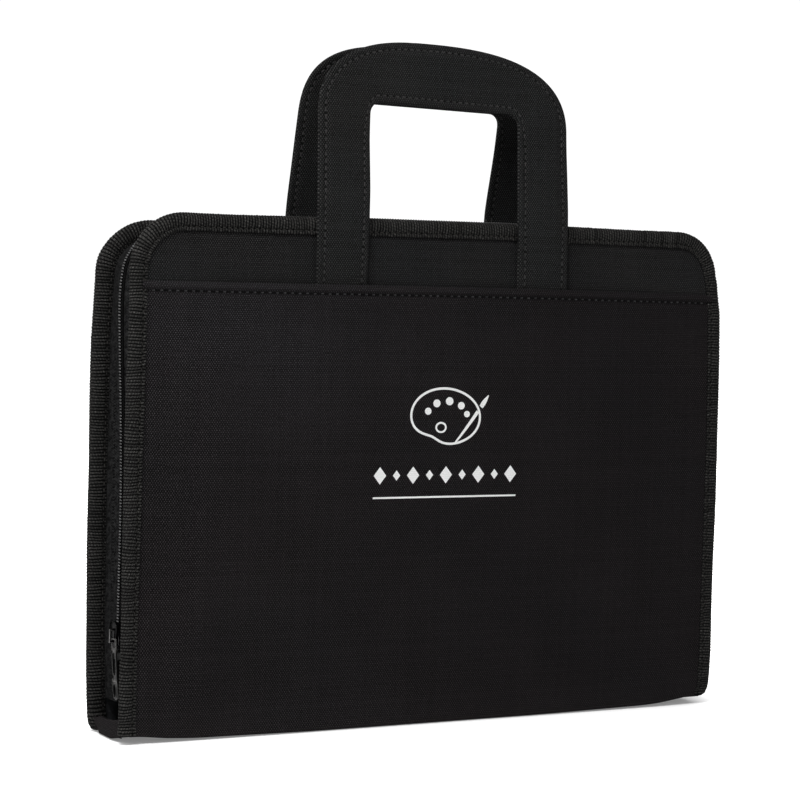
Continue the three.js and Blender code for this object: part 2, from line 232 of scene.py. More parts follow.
def capsules(name, centres, tangents, normals, length, radius, flat=0.8, sides=8, dark=0.0):
    """Short rounded sticks, such as stitches or zip teeth, as one mesh. Sizes in metres."""
    prof = np.array(
        [(-0.5, 0.0), (-0.47, 0.55), (-0.34, 0.92), (0, 1.0), (0.34, 0.92), (0.47, 0.55), (0.5, 0.0)]
    )
    n = len(centres)
    side = np.cross(tangents, normals)
    side /= np.linalg.norm(side, axis=1, keepdims=True)
    up = np.cross(side, tangents)
    th = np.arange(sides) / sides * 2 * PI
    verts, uv = [], []
    length = np.broadcast_to(np.asarray(length, float), (n,))
    radius = np.broadcast_to(np.asarray(radius, float), (n,))[:, None, None]
    flat = np.broadcast_to(np.asarray(flat, float), (n,))[:, None, None]
    for t, r in prof[1:-1]:
        ring = (
            centres[:, None]
            + tangents[:, None] * (t * length)[:, None, None]
            + (
                side[:, None] * np.cos(th)[None, :, None]
                + up[:, None] * np.sin(th)[None, :, None] * flat
            )
            * r
            * radius
        )
        verts.append(ring)
    verts = np.stack(verts, 1)  # n, 5, sides, 3
    tips = np.stack(
        [centres - tangents * (0.5 * length)[:, None], centres + tangents * (0.5 * length)[:, None]], 1
    )
    m = verts.shape[1]
    per = m * sides + 2
    allv = np.concatenate([verts.reshape(n, -1, 3), tips], 1).reshape(-1, 3)
    base = np.arange(m * sides).reshape(m, sides)
    one = quads(base, True)
    one += [[m * sides, int(base[0][(i + 1) % sides]), int(base[0][i])] for i in range(sides)]
    one += [
        [m * sides + 1, int(base[-1][i]), int(base[-1][(i + 1) % sides])]
        for i in range(sides)
    ]
    faces = []
    for k in range(n):
        o = k * per
        faces += [[v + o for v in f] for f in one]
    u = np.tile(np.arange(per) * 0.37 % 3.0, n)
    v = np.repeat(np.arange(n) * 1.3, per)
    dark = np.repeat(np.broadcast_to(np.asarray(dark, float), (n,)), per)
    return make(name, allv, faces, np.stack([u, v], -1), {"dark": dark}, 80, fix=False)


def join(objs, name):
    """Several closed bodies as one mesh object."""
    for o in bpy.context.selected_objects:
        o.select_set(False)
    for o in objs:
        o.select_set(True)
    bpy.context.view_layer.objects.active = objs[0]
    if len(objs) > 1:
        bpy.ops.object.join()
    ob = bpy.context.view_layer.objects.active
    ob.name = name
    ob.data.name = name
    ob.select_set(False)
    return ob


def stitches(name, fn, s0, s1, pitch, length=0.62, radius=0.42, sink=0.1, flat=0.75, hole=0.0):
    """A row of stitches, and the needle holes between them as near-black capsules of painted shade, on the curve fn(s)
    -> (points, outward normals), s in mm.
    """
    n = max(2, int(round((s1 - s0) / pitch)))
    s = s0 + (np.arange(n) + 0.5) * (s1 - s0) / n
    held = 0
    if hole:
        s = np.concatenate([s, s[:-1] + 0.5 * (s1 - s0) / n])
        held = n - 1
    step = (s1 - s0) / n
    p, nrm = fn(s)
    q, _ = fn(s + 0.3)
    r, _ = fn(s - 0.3)
    t = q - r
    real = np.linalg.norm(t, axis=1) / 0.6e-3
    t /= np.linalg.norm(t, axis=1, keepdims=True)
    total = n + held
    is_hole = np.arange(total) >= n
    jig = np.random.default_rng(len(name) + n).normal(0, 1, (total, 2))
    jig[is_hole] = 0
    side = np.cross(t, nrm)
    t = t + side * (0.05 * jig[:, :1])
    t /= np.linalg.norm(t, axis=1, keepdims=True)
    p = p + side * (0.05e-3 * jig[:, 1:]) - nrm * np.where(is_hole, 0.02, sink)[:, None] * 1e-3
    long = step * real * np.where(is_hole, 1 - length + 0.04, length) * 1e-3
    wide = np.where(is_hole, max(hole, 0.01), radius) * 1e-3
    return capsules(name, p, t, nrm, long, wide, np.where(is_hole, 0.35, flat), 8, is_hole.astype(float))


def surface_normal(fn, a, b, da=0.4, db=0.4):
    """Normal of the surface fn(a, b) -> points."""
    u = fn(a + da, b) - fn(a - da, b)
    v = fn(a, b + db) - fn(a, b - db)
    n = np.cross(u, v)
    return n / np.linalg.norm(n, axis=-1, keepdims=True)


# ---- materials -------------------------------------------------------------------------------------------------
def material(name):
    m = bpy.data.materials.new(name)
    m.use_nodes = True
    nt = m.node_tree
    nt.nodes.clear()
    out = nt.nodes.new("ShaderNodeOutputMaterial")
    bsdf = nt.nodes.new("ShaderNodeBsdfPrincipled")
    nt.links.new(bsdf.outputs[0], out.inputs[0])
    return m, nt, bsdf


class Net:
    """Short names for building a node tree."""

    def __init__(self, nt):
        self.nt = nt

    def node(self, kind, **props):
        n = self.nt.nodes.new(kind)
        for k, v in props.items():
            setattr(n, k, v)
        return n

    def put(self, socket, value):
        if isinstance(value, bpy.types.NodeSocket):
            self.nt.links.new(value, socket)
        elif isinstance(value, (tuple, list)) and len(value) == 3 and socket.type == "RGBA":
            socket.default_value = (*value, 1)
        else:
            socket.default_value = value

    def math(self, op, a, b=None, c=None, clamp=False):
        n = self.node("ShaderNodeMath", operation=op, use_clamp=clamp)
        for i, v in enumerate((a, b, c)):
            if v is not None:
                self.put(n.inputs[i], v)
        return n.outputs[0]

    def uv(self):
        n = self.node("ShaderNodeUVMap", uv_map="mm")
        return n.outputs[0]

    def object(self):
        return self.node("ShaderNodeTexCoord").outputs["Object"]

    def scale(self, vector, s):
        n = self.node("ShaderNodeMapping")
        self.put(n.inputs["Vector"], vector)
        n.inputs["Scale"].default_value = s if isinstance(s, (tuple, list)) else (s, s, s)
        return n.outputs[0]

    def turn(self, vector, angle):
        n = self.node("ShaderNodeMapping")
        self.put(n.inputs["Vector"], vector)
        n.inputs["Rotation"].default_value = (0, 0, math.radians(angle))
        return n.outputs[0]

    def split(self, vector):
        n = self.node("ShaderNodeSeparateXYZ")
        self.put(n.inputs[0], vector)
        return n.outputs

    def noise(self, vector, scale, detail=2.0, rough=0.5, out="Fac"):
        n = self.node("ShaderNodeTexNoise")
        self.put(n.inputs["Vector"], vector)
        n.inputs["Scale"].default_value = scale
        n.inputs["Detail"].default_value = detail
        n.inputs["Roughness"].default_value = rough
        return n.outputs[out]

    def attr(self, name):
        n = self.node("ShaderNodeAttribute", attribute_name=name)
        return n.outputs["Fac"]

    def remap(self, v, a, b, c, d):
        n = self.node("ShaderNodeMapRange")
        self.put(n.inputs[0], v)
        for i, k in enumerate((a, b, c, d)):
            n.inputs[i + 1].default_value = k
        return n.outputs[0]

    def mix(self, f, a, b):
        n = self.node("ShaderNodeMix", data_type="RGBA")
        self.put(n.inputs[0], f)
        self.put(n.inputs[6], a)
        self.put(n.inputs[7], b)
        return n.outputs[2]

    def tint(self, colour, factor):
        """Colour times a plain number."""
        n = self.node("ShaderNodeVectorMath", operation="SCALE")
        self.put(n.inputs[0], colour)
        self.put(n.inputs["Scale"], factor)
        return n.outputs[0]

    def bump(self, height, distance, strength=1.0, normal=None):
        n = self.node("ShaderNodeBump")
        self.put(n.inputs["Height"], height)
        n.inputs["Distance"].default_value = distance
        n.inputs["Strength"].default_value = strength
        if normal is not None:
            self.put(n.inputs["Normal"], normal)
        return n.outputs[0]


def wobble(n, uv, amount=0.12, scale=0.35):
    """The coordinates with the small wander of real yarn."""
    c = n.noise(uv, scale, 3.0, 0.6, out="Color")
    sub = n.node("ShaderNodeVectorMath", operation="SUBTRACT")
    n.put(sub.inputs[0], c)
    sub.inputs[1].default_value = (0.5, 0.5, 0.5)
    mul = n.node("ShaderNodeVectorMath", operation="SCALE")
    n.put(mul.inputs[0], sub.outputs[0])
    mul.inputs["Scale"].default_value = amount * 8
    add = n.node("ShaderNodeVectorMath", operation="ADD")
    n.put(add.inputs[0], uv)
    n.put(add.inputs[1], mul.outputs[0])
    return add.outputs[0]


def plain_weave(n, uv, pitch, weft=None):
    """Height of a plain weave, 0 to 1, and a value that differs from yarn to yarn."""
    weft = weft or pitch
    x, y, _ = n.split(uv)
    a = n.math("SINE", n.math("MULTIPLY", x, PI / pitch))
    b = n.math("SINE", n.math("MULTIPLY", y, PI / weft))
    ab = n.math("MULTIPLY", a, b)
    rx = n.math("ABSOLUTE", a)
    ry = n.math("ABSOLUTE", b)
    over = n.math("MULTIPLY", n.math("POWER", rx, 0.6), n.math("MULTIPLY_ADD", ry, 0.4, 0.6))
    under = n.math("MULTIPLY", n.math("POWER", ry, 0.6), n.math("MULTIPLY_ADD", rx, 0.4, 0.6))
    pick = n.math("GREATER_THAN", ab, 0.0)
    h = n.math(
        "ADD",
        n.math("MULTIPLY", pick, over),
        n.math("MULTIPLY", n.math("SUBTRACT", 1.0, pick), under),
    )
    kx = n.math("FLOOR", n.math("DIVIDE", x, pitch))
    ky = n.math("FLOOR", n.math("DIVIDE", y, weft))
    w1 = n.node("ShaderNodeTexWhiteNoise", noise_dimensions="1D")
    n.put(w1.inputs["W"], kx)
    w2 = n.node("ShaderNodeTexWhiteNoise", noise_dimensions="1D")
    n.put(w2.inputs["W"], n.math("ADD", ky, 311.5))
    yarn = n.math(
        "ADD",
        n.math("MULTIPLY", pick, w1.outputs[0]),
        n.math("MULTIPLY", n.math("SUBTRACT", 1.0, pick), w2.outputs[0]),
    )
    return h, yarn, ab


def canvas_material(name, dark, light, pitch=0.72, weft=1.03, sheen=0.0, spec=0.04, fuzz=True, hue=1.0, painted_light_and_tint=False):
    m, nt, bsdf = material(name)
    n = Net(nt)
    uv = wobble(n, n.uv(), 0.08, 0.3)
    h, yarn, ab = plain_weave(n, uv, pitch, weft)
    slow = n.noise(n.uv(), 0.02, 3.0, 0.55)
    fine = n.noise(n.uv(), 1.0, 3.0, 0.75)
    # painted highlight: the warp is coloured lighter where it crosses over the weft, and the dark colour between the
    # yarns is painted shade
    painted_crest_light = n.math("POWER", n.remap(ab, 0.0, 1.0, 0.0, 1.0), 1.3)
    f = n.math("MULTIPLY_ADD", yarn, 0.07, n.math("MULTIPLY", painted_crest_light, n.remap(fine, 0.3, 0.7, 0.1, 1.35)))
    f = n.math("ADD", f, n.remap(slow, 0.3, 0.7, -0.015, 0.03), clamp=True)
    # dye lots and age: the black leans a little to blue or to brown in broad patches
    patch = n.noise(n.uv(), 0.012, 2.0, 0.5)
    near = n.mix(n.remap(patch, 0.4, 0.6, 0.0, 1.0), (light[0] * (1 - 0.04 * hue), light[1] * (1 + 0.03 * hue), light[2] * (1 + 0.1 * hue)),
                 (light[0] * (1 + 0.05 * hue), light[1] * (1 - 0.02 * hue), light[2] * (1 - 0.04 * hue)))
    col = n.mix(f, dark, near)
    if painted_light_and_tint:
        # painted light and shade: paler at the pocket's upper left, darker towards the right, paler along the foot; the
        # tint turns cooler at the upper left and in broad patches, and stays deep and warm elsewhere
        ox, _, oz = n.split(n.object())
        cool = n.math("MULTIPLY", n.remap(oz, 0.1, 0.21, 0, 0.75), n.remap(ox, -0.15, 0.05, 1, 0.1))
        cool = n.math("ADD", cool, n.remap(patch, 0.42, 0.62, 0, 0.35), clamp=True)
        col = n.mix(f, dark, n.mix(cool, (light[0] * 1.06, light[1] * 0.985, light[2] * 1.01), (light[0] * 0.99, light[1] * 1.015, light[2] * 1.08)))
        # painted light: these factors lift the upper left and darken the right side of the cloth
        painted_shoulder_light = n.math("MULTIPLY", n.remap(oz, 0.14, 0.225, 0, 0.34), n.remap(ox, -0.13, 0.06, 1, 0))
        wear_and_painted_light = n.math("ADD", n.math("ADD", painted_shoulder_light, n.remap(ox, -0.08, 0.1, 0.97, 0.885)), n.remap(oz, 0.003, 0.028, 0.15, 0))
        col = n.tint(col, wear_and_painted_light)
    if fuzz:
        lint = n.noise(n.scale(n.uv(), (1.0, 2.6, 1)), 0.9, 1.0, 0.5)
        col = n.mix(n.remap(lint, 0.74, 0.8, 0, 0.35), col, tuple(min(1, c * 1.5) for c in light))
    n.put(bsdf.inputs["Base Color"], col)
    n.put(bsdf.inputs["Roughness"], n.remap(h, 0, 1, 1.0, 0.86))
    bsdf.inputs["Specular IOR Level"].default_value = spec
    bsdf.inputs["Sheen Weight"].default_value = sheen
    bsdf.inputs["Sheen Roughness"].default_value = 0.55
    soft = n.bump(n.noise(n.uv(), 0.06, 3.0, 0.6), 0.0011, 0.5)
    height = n.math("MULTIPLY_ADD", yarn, 0.25, h)
    n.put(bsdf.inputs["Normal"], n.bump(height, 0.0003, 0.95, soft))
    return m


def binding_material(name, dark, light, painted_crest_highlight):
    """Grosgrain: ribs carried by the mesh, fine yarn across them; painted shade darkens the rib valleys and a painted
    highlight lightens the crests.
    """
    m, nt, bsdf = material(name)
    n = Net(nt)
    rib = n.attr("rib")
    x, y, _ = n.split(n.uv())
    yarn = n.math("SINE", n.math("MULTIPLY", n.math("ADD", y, n.math("MULTIPLY", n.noise(n.uv(), 0.8, 2), 1.2)), 2 * PI / 0.55))
    grain = n.noise(n.scale(n.uv(), (3.0, 1.0, 1)), 1.1, 3.0, 0.65)
    bead = n.remap(n.math("SINE", n.math("MULTIPLY", n.math("ADD", y, n.math("MULTIPLY", x, 0.31)), 2 * PI / 1.5)), -1, 1, 0.55, 1.25)
    # painted shade: the rib height turns the valleys near black and the crests lighter
    f = n.math("MULTIPLY", n.math("MULTIPLY", n.math("POWER", rib, 3.0), bead), n.remap(grain, 0.3, 0.72, 0.25, 1.0), clamp=True)
    col = n.mix(f, dark, light)
    # painted highlight: the highest crests take the crest highlight colour
    top = n.math("MULTIPLY", n.math("MULTIPLY", n.remap(rib, 0.72, 1.0, 0.0, 1.0), bead), n.remap(grain, 0.46, 0.75, 0.0, 0.9), clamp=True)
    col = n.mix(top, col, painted_crest_highlight)
    n.put(bsdf.inputs["Base Color"], col)
    n.put(bsdf.inputs["Roughness"], n.remap(grain, 0.2, 0.8, 0.72, 0.95))
    bsdf.inputs["Specular IOR Level"].default_value = 0.07
    height = n.math("MULTIPLY_ADD", yarn, 0.18, n.math("MULTIPLY", grain, 0.8))
    n.put(bsdf.inputs["Normal"], n.bump(height, 0.00016, 0.75))
    return m


def tape_material(name, dark, light):
    """Zip tape: a fine flat twill."""
    m, nt, bsdf = material(name)
    n = Net(nt)
    x, y, _ = n.split(n.uv())
    zig = n.math("PINGPONG", y, 1.1)
    tw = n.math("SINE", n.math("MULTIPLY", n.math("ADD", x, zig), 2 * PI / 1.3))
    grain = n.noise(n.uv(), 0.4, 4.0, 0.75)
    row = n.remap(n.math("ABSOLUTE", n.math("SUBTRACT", n.math("PINGPONG", n.math("ADD", y, 1.0), 4.2), 3.6)), 0.0, 0.6, 1.0, 0.0)
    dash = n.math("MULTIPLY", row, n.remap(n.math("SINE", n.math("MULTIPLY", x, 2 * PI / 1.7)), -0.3, 0.5, -1.0, 0.5))
    f = n.math("MULTIPLY_ADD", tw, 0.3, n.remap(grain, 0.36, 0.64, -0.1, 1.05))
    f = n.math("ADD", f, n.math("MULTIPLY", dash, 0.7), clamp=True)
    # tape marked dark is painted near black as shade under the coil
    n.put(bsdf.inputs["Base Color"], n.mix(n.attr("dark"), n.mix(f, dark, light), (0.0008, 0.0008, 0.0008)))
    n.put(bsdf.inputs["Roughness"], n.remap(grain, 0.2, 0.8, 0.7, 0.9))
    bsdf.inputs["Specular IOR Level"].default_value = 0.03
    n.put(bsdf.inputs["Normal"], n.bump(n.math("MULTIPLY_ADD", tw, 0.5, grain), 0.00012, 0.6))
    return m


def lining_material(name, dark, light):
    """Nylon lining: tight cloth with a slight sheen and a woven check."""
    m, nt, bsdf = material(name)
    n = Net(nt)
    h, yarn, _ = plain_weave(n, wobble(n, n.uv(), 0.03, 0.3), 0.34)
    x, y, _ = n.split(n.uv())
    rx = n.math("GREATER_THAN", n.math("FRACT", n.math("DIVIDE", x, 5.0)), 0.9)
    ry = n.math("GREATER_THAN", n.math("FRACT", n.math("DIVIDE", y, 5.0)), 0.9)
    grid = n.math("MAXIMUM", rx, ry)
    slow = n.noise(n.uv(), 0.03, 3.0, 0.6)
    f = n.math("MULTIPLY_ADD", h, 0.4, n.math("MULTIPLY_ADD", yarn, 0.25, n.remap(slow, 0.3, 0.7, -0.1, 0.25)))
    n.put(bsdf.inputs["Base Color"], n.mix(f, dark, light))
    n.put(bsdf.inputs["Roughness"], n.remap(slow, 0.3, 0.7, 0.48, 0.62))
    bsdf.inputs["Specular IOR Level"].default_value = 0.4
    soft = n.bump(n.noise(n.uv(), 0.05, 4.0, 0.62), 0.0016, 0.6)
    n.put(bsdf.inputs["Normal"], n.bump(n.math("MULTIPLY_ADD", grid, 0.9, h), 0.00012, 0.7, soft))
    return m


def thread_material(name, dark, light, rough=0.62, spec=0.4):
    m, nt, bsdf = material(name)
    n = Net(nt)
    x, y, _ = n.split(n.uv())
    ply = n.math("SINE", n.math("MULTIPLY", n.math("ADD", x, n.math("MULTIPLY", y, 0.7)), 2 * PI / 0.5))
    tone = n.noise(n.uv(), 0.7, 2.0, 0.5)
    f = n.math("MULTIPLY_ADD", ply, 0.25, n.remap(tone, 0.3, 0.7, 0.15, 0.9), clamp=True)
    # parts marked dark, the needle holes and the coil's front teeth and cord, are painted near black as shade
    n.put(bsdf.inputs["Base Color"], n.mix(n.attr("dark"), n.mix(f, dark, light), (0.0006, 0.0006, 0.0006)))
    n.put(bsdf.inputs["Roughness"], n.remap(tone, 0.3, 0.7, rough - 0.08, rough + 0.1))
    bsdf.inputs["Specular IOR Level"].default_value = spec
    n.put(bsdf.inputs["Normal"], n.bump(ply, 0.00006, 0.5))
    return m


def enamel_material(name, dark, wear_and_painted_light, low=0.64, high=0.78, amount=0.6, spec=0.05, coat=0.015):
    """Black enamel on die-cast metal, a little worn on the edges; the bright worn metal on the edges also stands in for
    the highlights along them.
    """
    m, nt, bsdf = material(name)
    n = Net(nt)
    ob = n.object()
    grain = n.noise(ob, 900.0, 3.0, 0.6)
    big = n.noise(ob, 160.0, 2.0, 0.5)
    edge = n.node("ShaderNodeNewGeometry").outputs["Pointiness"]
    # partly real wear and partly painted highlight: bright worn metal on the edges
    edge_wear_and_highlight = n.math("MULTIPLY", n.remap(edge, low, high, 0, amount), n.remap(grain, 0.35, 0.55, 0.2, 1), clamp=True)
    n.put(bsdf.inputs["Base Color"], n.mix(edge_wear_and_highlight, n.mix(n.remap(big, 0.3, 0.7, 0, 1), dark, tuple(c * 1.6 for c in dark)), wear_and_painted_light))
    n.put(bsdf.inputs["Metallic"], n.remap(edge_wear_and_highlight, 0, 1, 0.0, 0.8))
    n.put(bsdf.inputs["Roughness"], n.remap(grain, 0.3, 0.7, 0.15, 0.26))
    bsdf.inputs["Specular IOR Level"].default_value = spec
    bsdf.inputs["Coat Weight"].default_value = coat
    bsdf.inputs["Coat Roughness"].default_value = 0.1
    n.put(bsdf.inputs["Normal"], n.bump(big, 0.0003, 0.25))
    return m


def plain_solid(name, dark, light, scale, rough, distance, stretch=(1, 1, 1), spec=0.3):
    m, nt, bsdf = material(name)
    n = Net(nt)
    c = n.scale(n.object(), stretch)
    a = n.noise(c, scale, 5.0, 0.62)
    b = n.noise(c, scale * 7, 2.0, 0.6)
    f = n.math("MULTIPLY_ADD", b, 0.4, n.remap(a, 0.3, 0.7, 0, 0.7), clamp=True)
    n.put(bsdf.inputs["Base Color"], n.mix(f, dark, light))
    n.put(bsdf.inputs["Roughness"], n.remap(b, 0.3, 0.7, rough - 0.08, min(1, rough + 0.08)))
    bsdf.inputs["Specular IOR Level"].default_value = spec
    n.put(bsdf.inputs["Normal"], n.bump(n.math("MULTIPLY_ADD", b, 0.5, a), distance, 0.7))
    return m


def ink_material(name):
    """White screen print that sinks a little into the weave."""
    m, nt, bsdf = material(name)
    n = Net(nt)
    h, yarn, _ = plain_weave(n, wobble(n, n.uv(), 0.05, 0.35), 0.72, 1.03)
    speck = n.noise(n.uv(), 1.6, 2.0, 0.6)
    f = n.math("MULTIPLY_ADD", h, 0.5, n.remap(speck, 0.3, 0.7, 0.1, 0.6), clamp=True)
    n.put(bsdf.inputs["Base Color"], n.mix(f, (0.5, 0.5, 0.5), (0.84, 0.84, 0.835)))
    n.put(bsdf.inputs["Roughness"], n.remap(speck, 0.3, 0.7, 0.6, 0.8))
    bsdf.inputs["Specular IOR Level"].default_value = 0.3
    n.put(bsdf.inputs["Normal"], n.bump(h, 0.0001, 0.6))
    return m


M = {
    # the pocket cloth carries painted light and shade across it
    "canvas": canvas_material("canvas", (0.0040, 0.0037, 0.0038), (0.0550, 0.0510, 0.0520), painted_light_and_tint=True),
    "panel": canvas_material("canvas_panel", (0.0046, 0.0046, 0.0046), (0.0606, 0.0596, 0.0600), hue=0.35),
    "handle": canvas_material("handle_canvas", (0.0044, 0.0044, 0.0043), (0.0690, 0.0684, 0.0676), hue=0.3),
    # the binding's third colour is the painted highlight on the rib crests
    "binding": binding_material("binding", (0.0003, 0.0003, 0.0003), (0.0245, 0.0240, 0.0229), (0.112, 0.109, 0.104)),
    "tape": tape_material("zip_tape", (0.0010, 0.0010, 0.0011), (0.0195, 0.0195, 0.0197)),
    # painted highlight: the black nylon coil is coloured pale grey to stand in for the glints on its teeth
    "coil": thread_material("zip_coil", (0.035, 0.035, 0.035), (0.150, 0.150, 0.150), 0.5, 0.04),
    "lining": lining_material("lining", (0.008, 0.0085, 0.0095), (0.026, 0.027, 0.03)),
    "thread": thread_material("sewing_thread", (0.014, 0.0135, 0.0135), (0.050, 0.048, 0.048), 0.66, 0.08),
    # painted highlight: the black hem thread is coloured pale grey to stand in for the glints on its stitches
    "hem_thread": thread_material("hem_thread", (0.026, 0.0255, 0.026), (0.115, 0.113, 0.116), 0.6, 0.1),
    "thread_light": thread_material("binding_thread", (0.010, 0.0096, 0.009), (0.040, 0.038, 0.035), 0.66, 0.08),
    "enamel": enamel_material("zip_enamel", (0.0008, 0.0008, 0.0009), (0.34, 0.335, 0.33)),
    # the pull's low threshold spreads the bright worn metal over much of it, partly as painted highlight
    "pull": enamel_material("pull_enamel", (0.0040, 0.0040, 0.0038), (0.40, 0.39, 0.375), 0.53, 0.66, 0.95, 0.11, 0.05),
    "board": plain_solid("greyboard", (0.16, 0.145, 0.12), (0.3, 0.28, 0.24), 60, 0.9, 0.0004, (1, 1, 2.5)),
    "foam": plain_solid("foam", (0.03, 0.031, 0.033), (0.075, 0.077, 0.08), 500, 0.95, 0.0008),
    "stop": plain_solid("zip_stop_metal", (0.02, 0.02, 0.02), (0.06, 0.06, 0.06), 700, 0.4, 0.0002, spec=0.5),
    "ink": ink_material("print_ink"),
}


def dress(ob, mat):
    ob.data.materials.clear()
    ob.data.materials.append(M[mat])
    return ob


# ---- the covers ------------------------------------------------------------------------------------------------
XS = np.concatenate([np.linspace(-177.6, -150, 13)[:-1], np.linspace(-150, 150, 101)[:-1], np.linspace(150, 177.6, 13)])


def pocket_out(x, z):
    """Outer surface of the pocket below its hem, as distance d."""
    edge = -0.45 + 0.5 * ease((174.5 - np.abs(x)) / 13)
    return edge + padding(x, z) + pocket_lift(x, z)


def handle_push(x, z, side):
    """The pocket stands out a little over the handle legs that run down inside it."""
    m = 1 if side == "front" else -1
    c = np.minimum(np.abs(m * x + 63), np.abs(m * x - 60))
    return 0.35 * ease((24 - c) / 12) * ease((z - 165) / 30)


def outer_shell(side):
    """The outside of a cover: pocket panel, rolled mouth, and the turn under the spine."""
    sections = []
    uvs = []
    for x in XS:
        d0 = float(pocket_out(x, 0))
        # underside and lower corner
        # the lower corner is a crisp fold
        r = 1.9
        wide = (abs(x) - 150) / 27.6
        reach = 0.013 if side == "back" else 0.004 if x > 0 else 0.0
        xb = x * (1 + reach * max(0, wide))  # the turned edge runs out past the bindings
        path = [(xb, -7.6, 0.12), (xb, -6.0, 0.1), (xb, -4.2, 0.1)]
        for a in np.linspace(0, PI / 2, 6):
            path.append((xb, d0 - r + r * math.sin(a), 0.1 + r - r * math.cos(a)))
        zs = np.concatenate([[3.2, 5, 8], np.linspace(12, 222, 43), [225.5, 228.4, 229.3, 229.9, 230.3, 230.7, 231.2, 231.9, 232.8, 233.7, 234.5]])
        add = np.interp(
            zs,
            [222, 226, 228.4, 229.3, 229.9, 230.3, 230.7, 231.2, 231.9, 232.8, 233.7, 234.5],
            [0, 0.3, 0.36, 0.16, -0.26, -0.4, -0.1, 0.95, 1.6, 1.5, 1.2, 0.8],
        )
        k = ease((zs - 2) / 8)
        for z, a in zip(zs, add):
            kk = float(ease((z - 2) / 9))
            path.append((xb * (1 - kk) + x * kk, float(pocket_out(x, z) + handle_push(x, z, side)) + a, z))
        top = float(pocket_out(x, 234.5) + handle_push(x, 234.5, side))
        path += [(x, top + 0.2, 235.0), (x, top - 0.4, 235.1), (x, top - 0.85, 234.8), (x, top - 1.0, 234.2)]
        for z in (232, 229.5, 228.6):
            path.append((x, float(pocket_out(x, z) + handle_push(x, z, side)) - 1.05, z))
        for z in list(np.linspace(226, 12, 26)) + [8, 5, 3.4]:
            path.append((x, float(pocket_out(x, z) + handle_push(x, z, side)) - 0.58, z))
        for a in np.linspace(PI / 2, 0, 5):
            path.append((xb, d0 - r + (r - 0.58) * math.sin(a), 0.1 + r - (r - 0.58) * math.cos(a)))
        path += [(xb, -6.0, 0.66), (xb, -7.6, 0.64)]
        p = np.array(path)
        sections.append(p)
        step = np.linalg.norm(np.diff(p[:, 1:], axis=0), axis=1)
        v = np.concatenate([[0], np.cumsum(step)])
        uvs.append(np.stack([p[:, 0], v], -1))
    sec = np.array(sections)
    low = sag(sec[..., 0], side) * (1 - ease(sec[..., 2] / 14))
    pts = place(side, sec[..., 0], sec[..., 1], sec[..., 2] + low)
    ob = loft(f"{side}_outer_shell", pts, np.array(uvs), sharp=60)
    dress(ob, "canvas")
    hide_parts(f"{side}_outer_pocket", f"{side}_pocket_hem")
    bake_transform(ob)
    return ob


def hem_stitches(side):
    def fn(s):
        x = s - 175.0
        z = np.full_like(x, 230.35)

        def f(a, b):
            return place(side, a, pocket_out(a, b) + handle_push(a, b, side) - 0.2, b)

        n = surface_normal(f, x, z)
        if side == "back":
            n = -n
        return f(x, z), n

    ob = stitches(f"{side}_hem_stitches", fn, 1.5, 348.5, 4.4, 0.36, 0.36, -0.02, 0.75, 0.85)
    dress(ob, "hem_thread")
    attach(ob, f"{side}_cover")


def panel_top(x, inset):
    r = RAD - inset
    cx = HALF_W - RAD
    ax = np.abs(x)
    z = np.full_like(ax, HEIGHT - inset)
    m = ax > cx
    z[m] = HEIGHT - RAD + np.sqrt(np.maximum(r * r - (ax[m] - cx) ** 2, 0))
    return z


def cover_slab(side, name, d_out, d_in, inset, z0, mat, rows=46, cols=120, nodes=(), half=None, top=None, uvturn=False):
    half = half or (HALF_W - inset)
    x = np.sign(np.linspace(-1, 1, cols)) * np.abs(np.linspace(-1, 1, cols)) ** 0.8 * half
    x[0], x[-1] = -half, half
    zt = panel_top(np.abs(x) * (HALF_W - inset) / half if half < HALF_W - inset else x, inset) if top is None else np.full(cols, float(top))
    t = np.linspace(0, 1, rows) ** 0.85
    X = np.repeat(x[None], rows, 0)
    Z = z0 + (zt[None] - z0) * t[:, None]
    a = place(side, X, d_out(X, Z), Z)
    b = place(side, X, d_in(X, Z), Z)
    ob = slab(f"{side}_{name}", a, b, np.stack([X, Z], -1))
    dress(ob, mat)
    if nodes:
        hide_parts(*[f"{side}_{n}" for n in nodes])
    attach(ob, f"{side}_cover")
    return ob


def lined(x, z):
    return 0.45 * ease((172 - np.abs(x)) / 40) * ease((z - 8) / 30) * ease((258 - z) / 30)


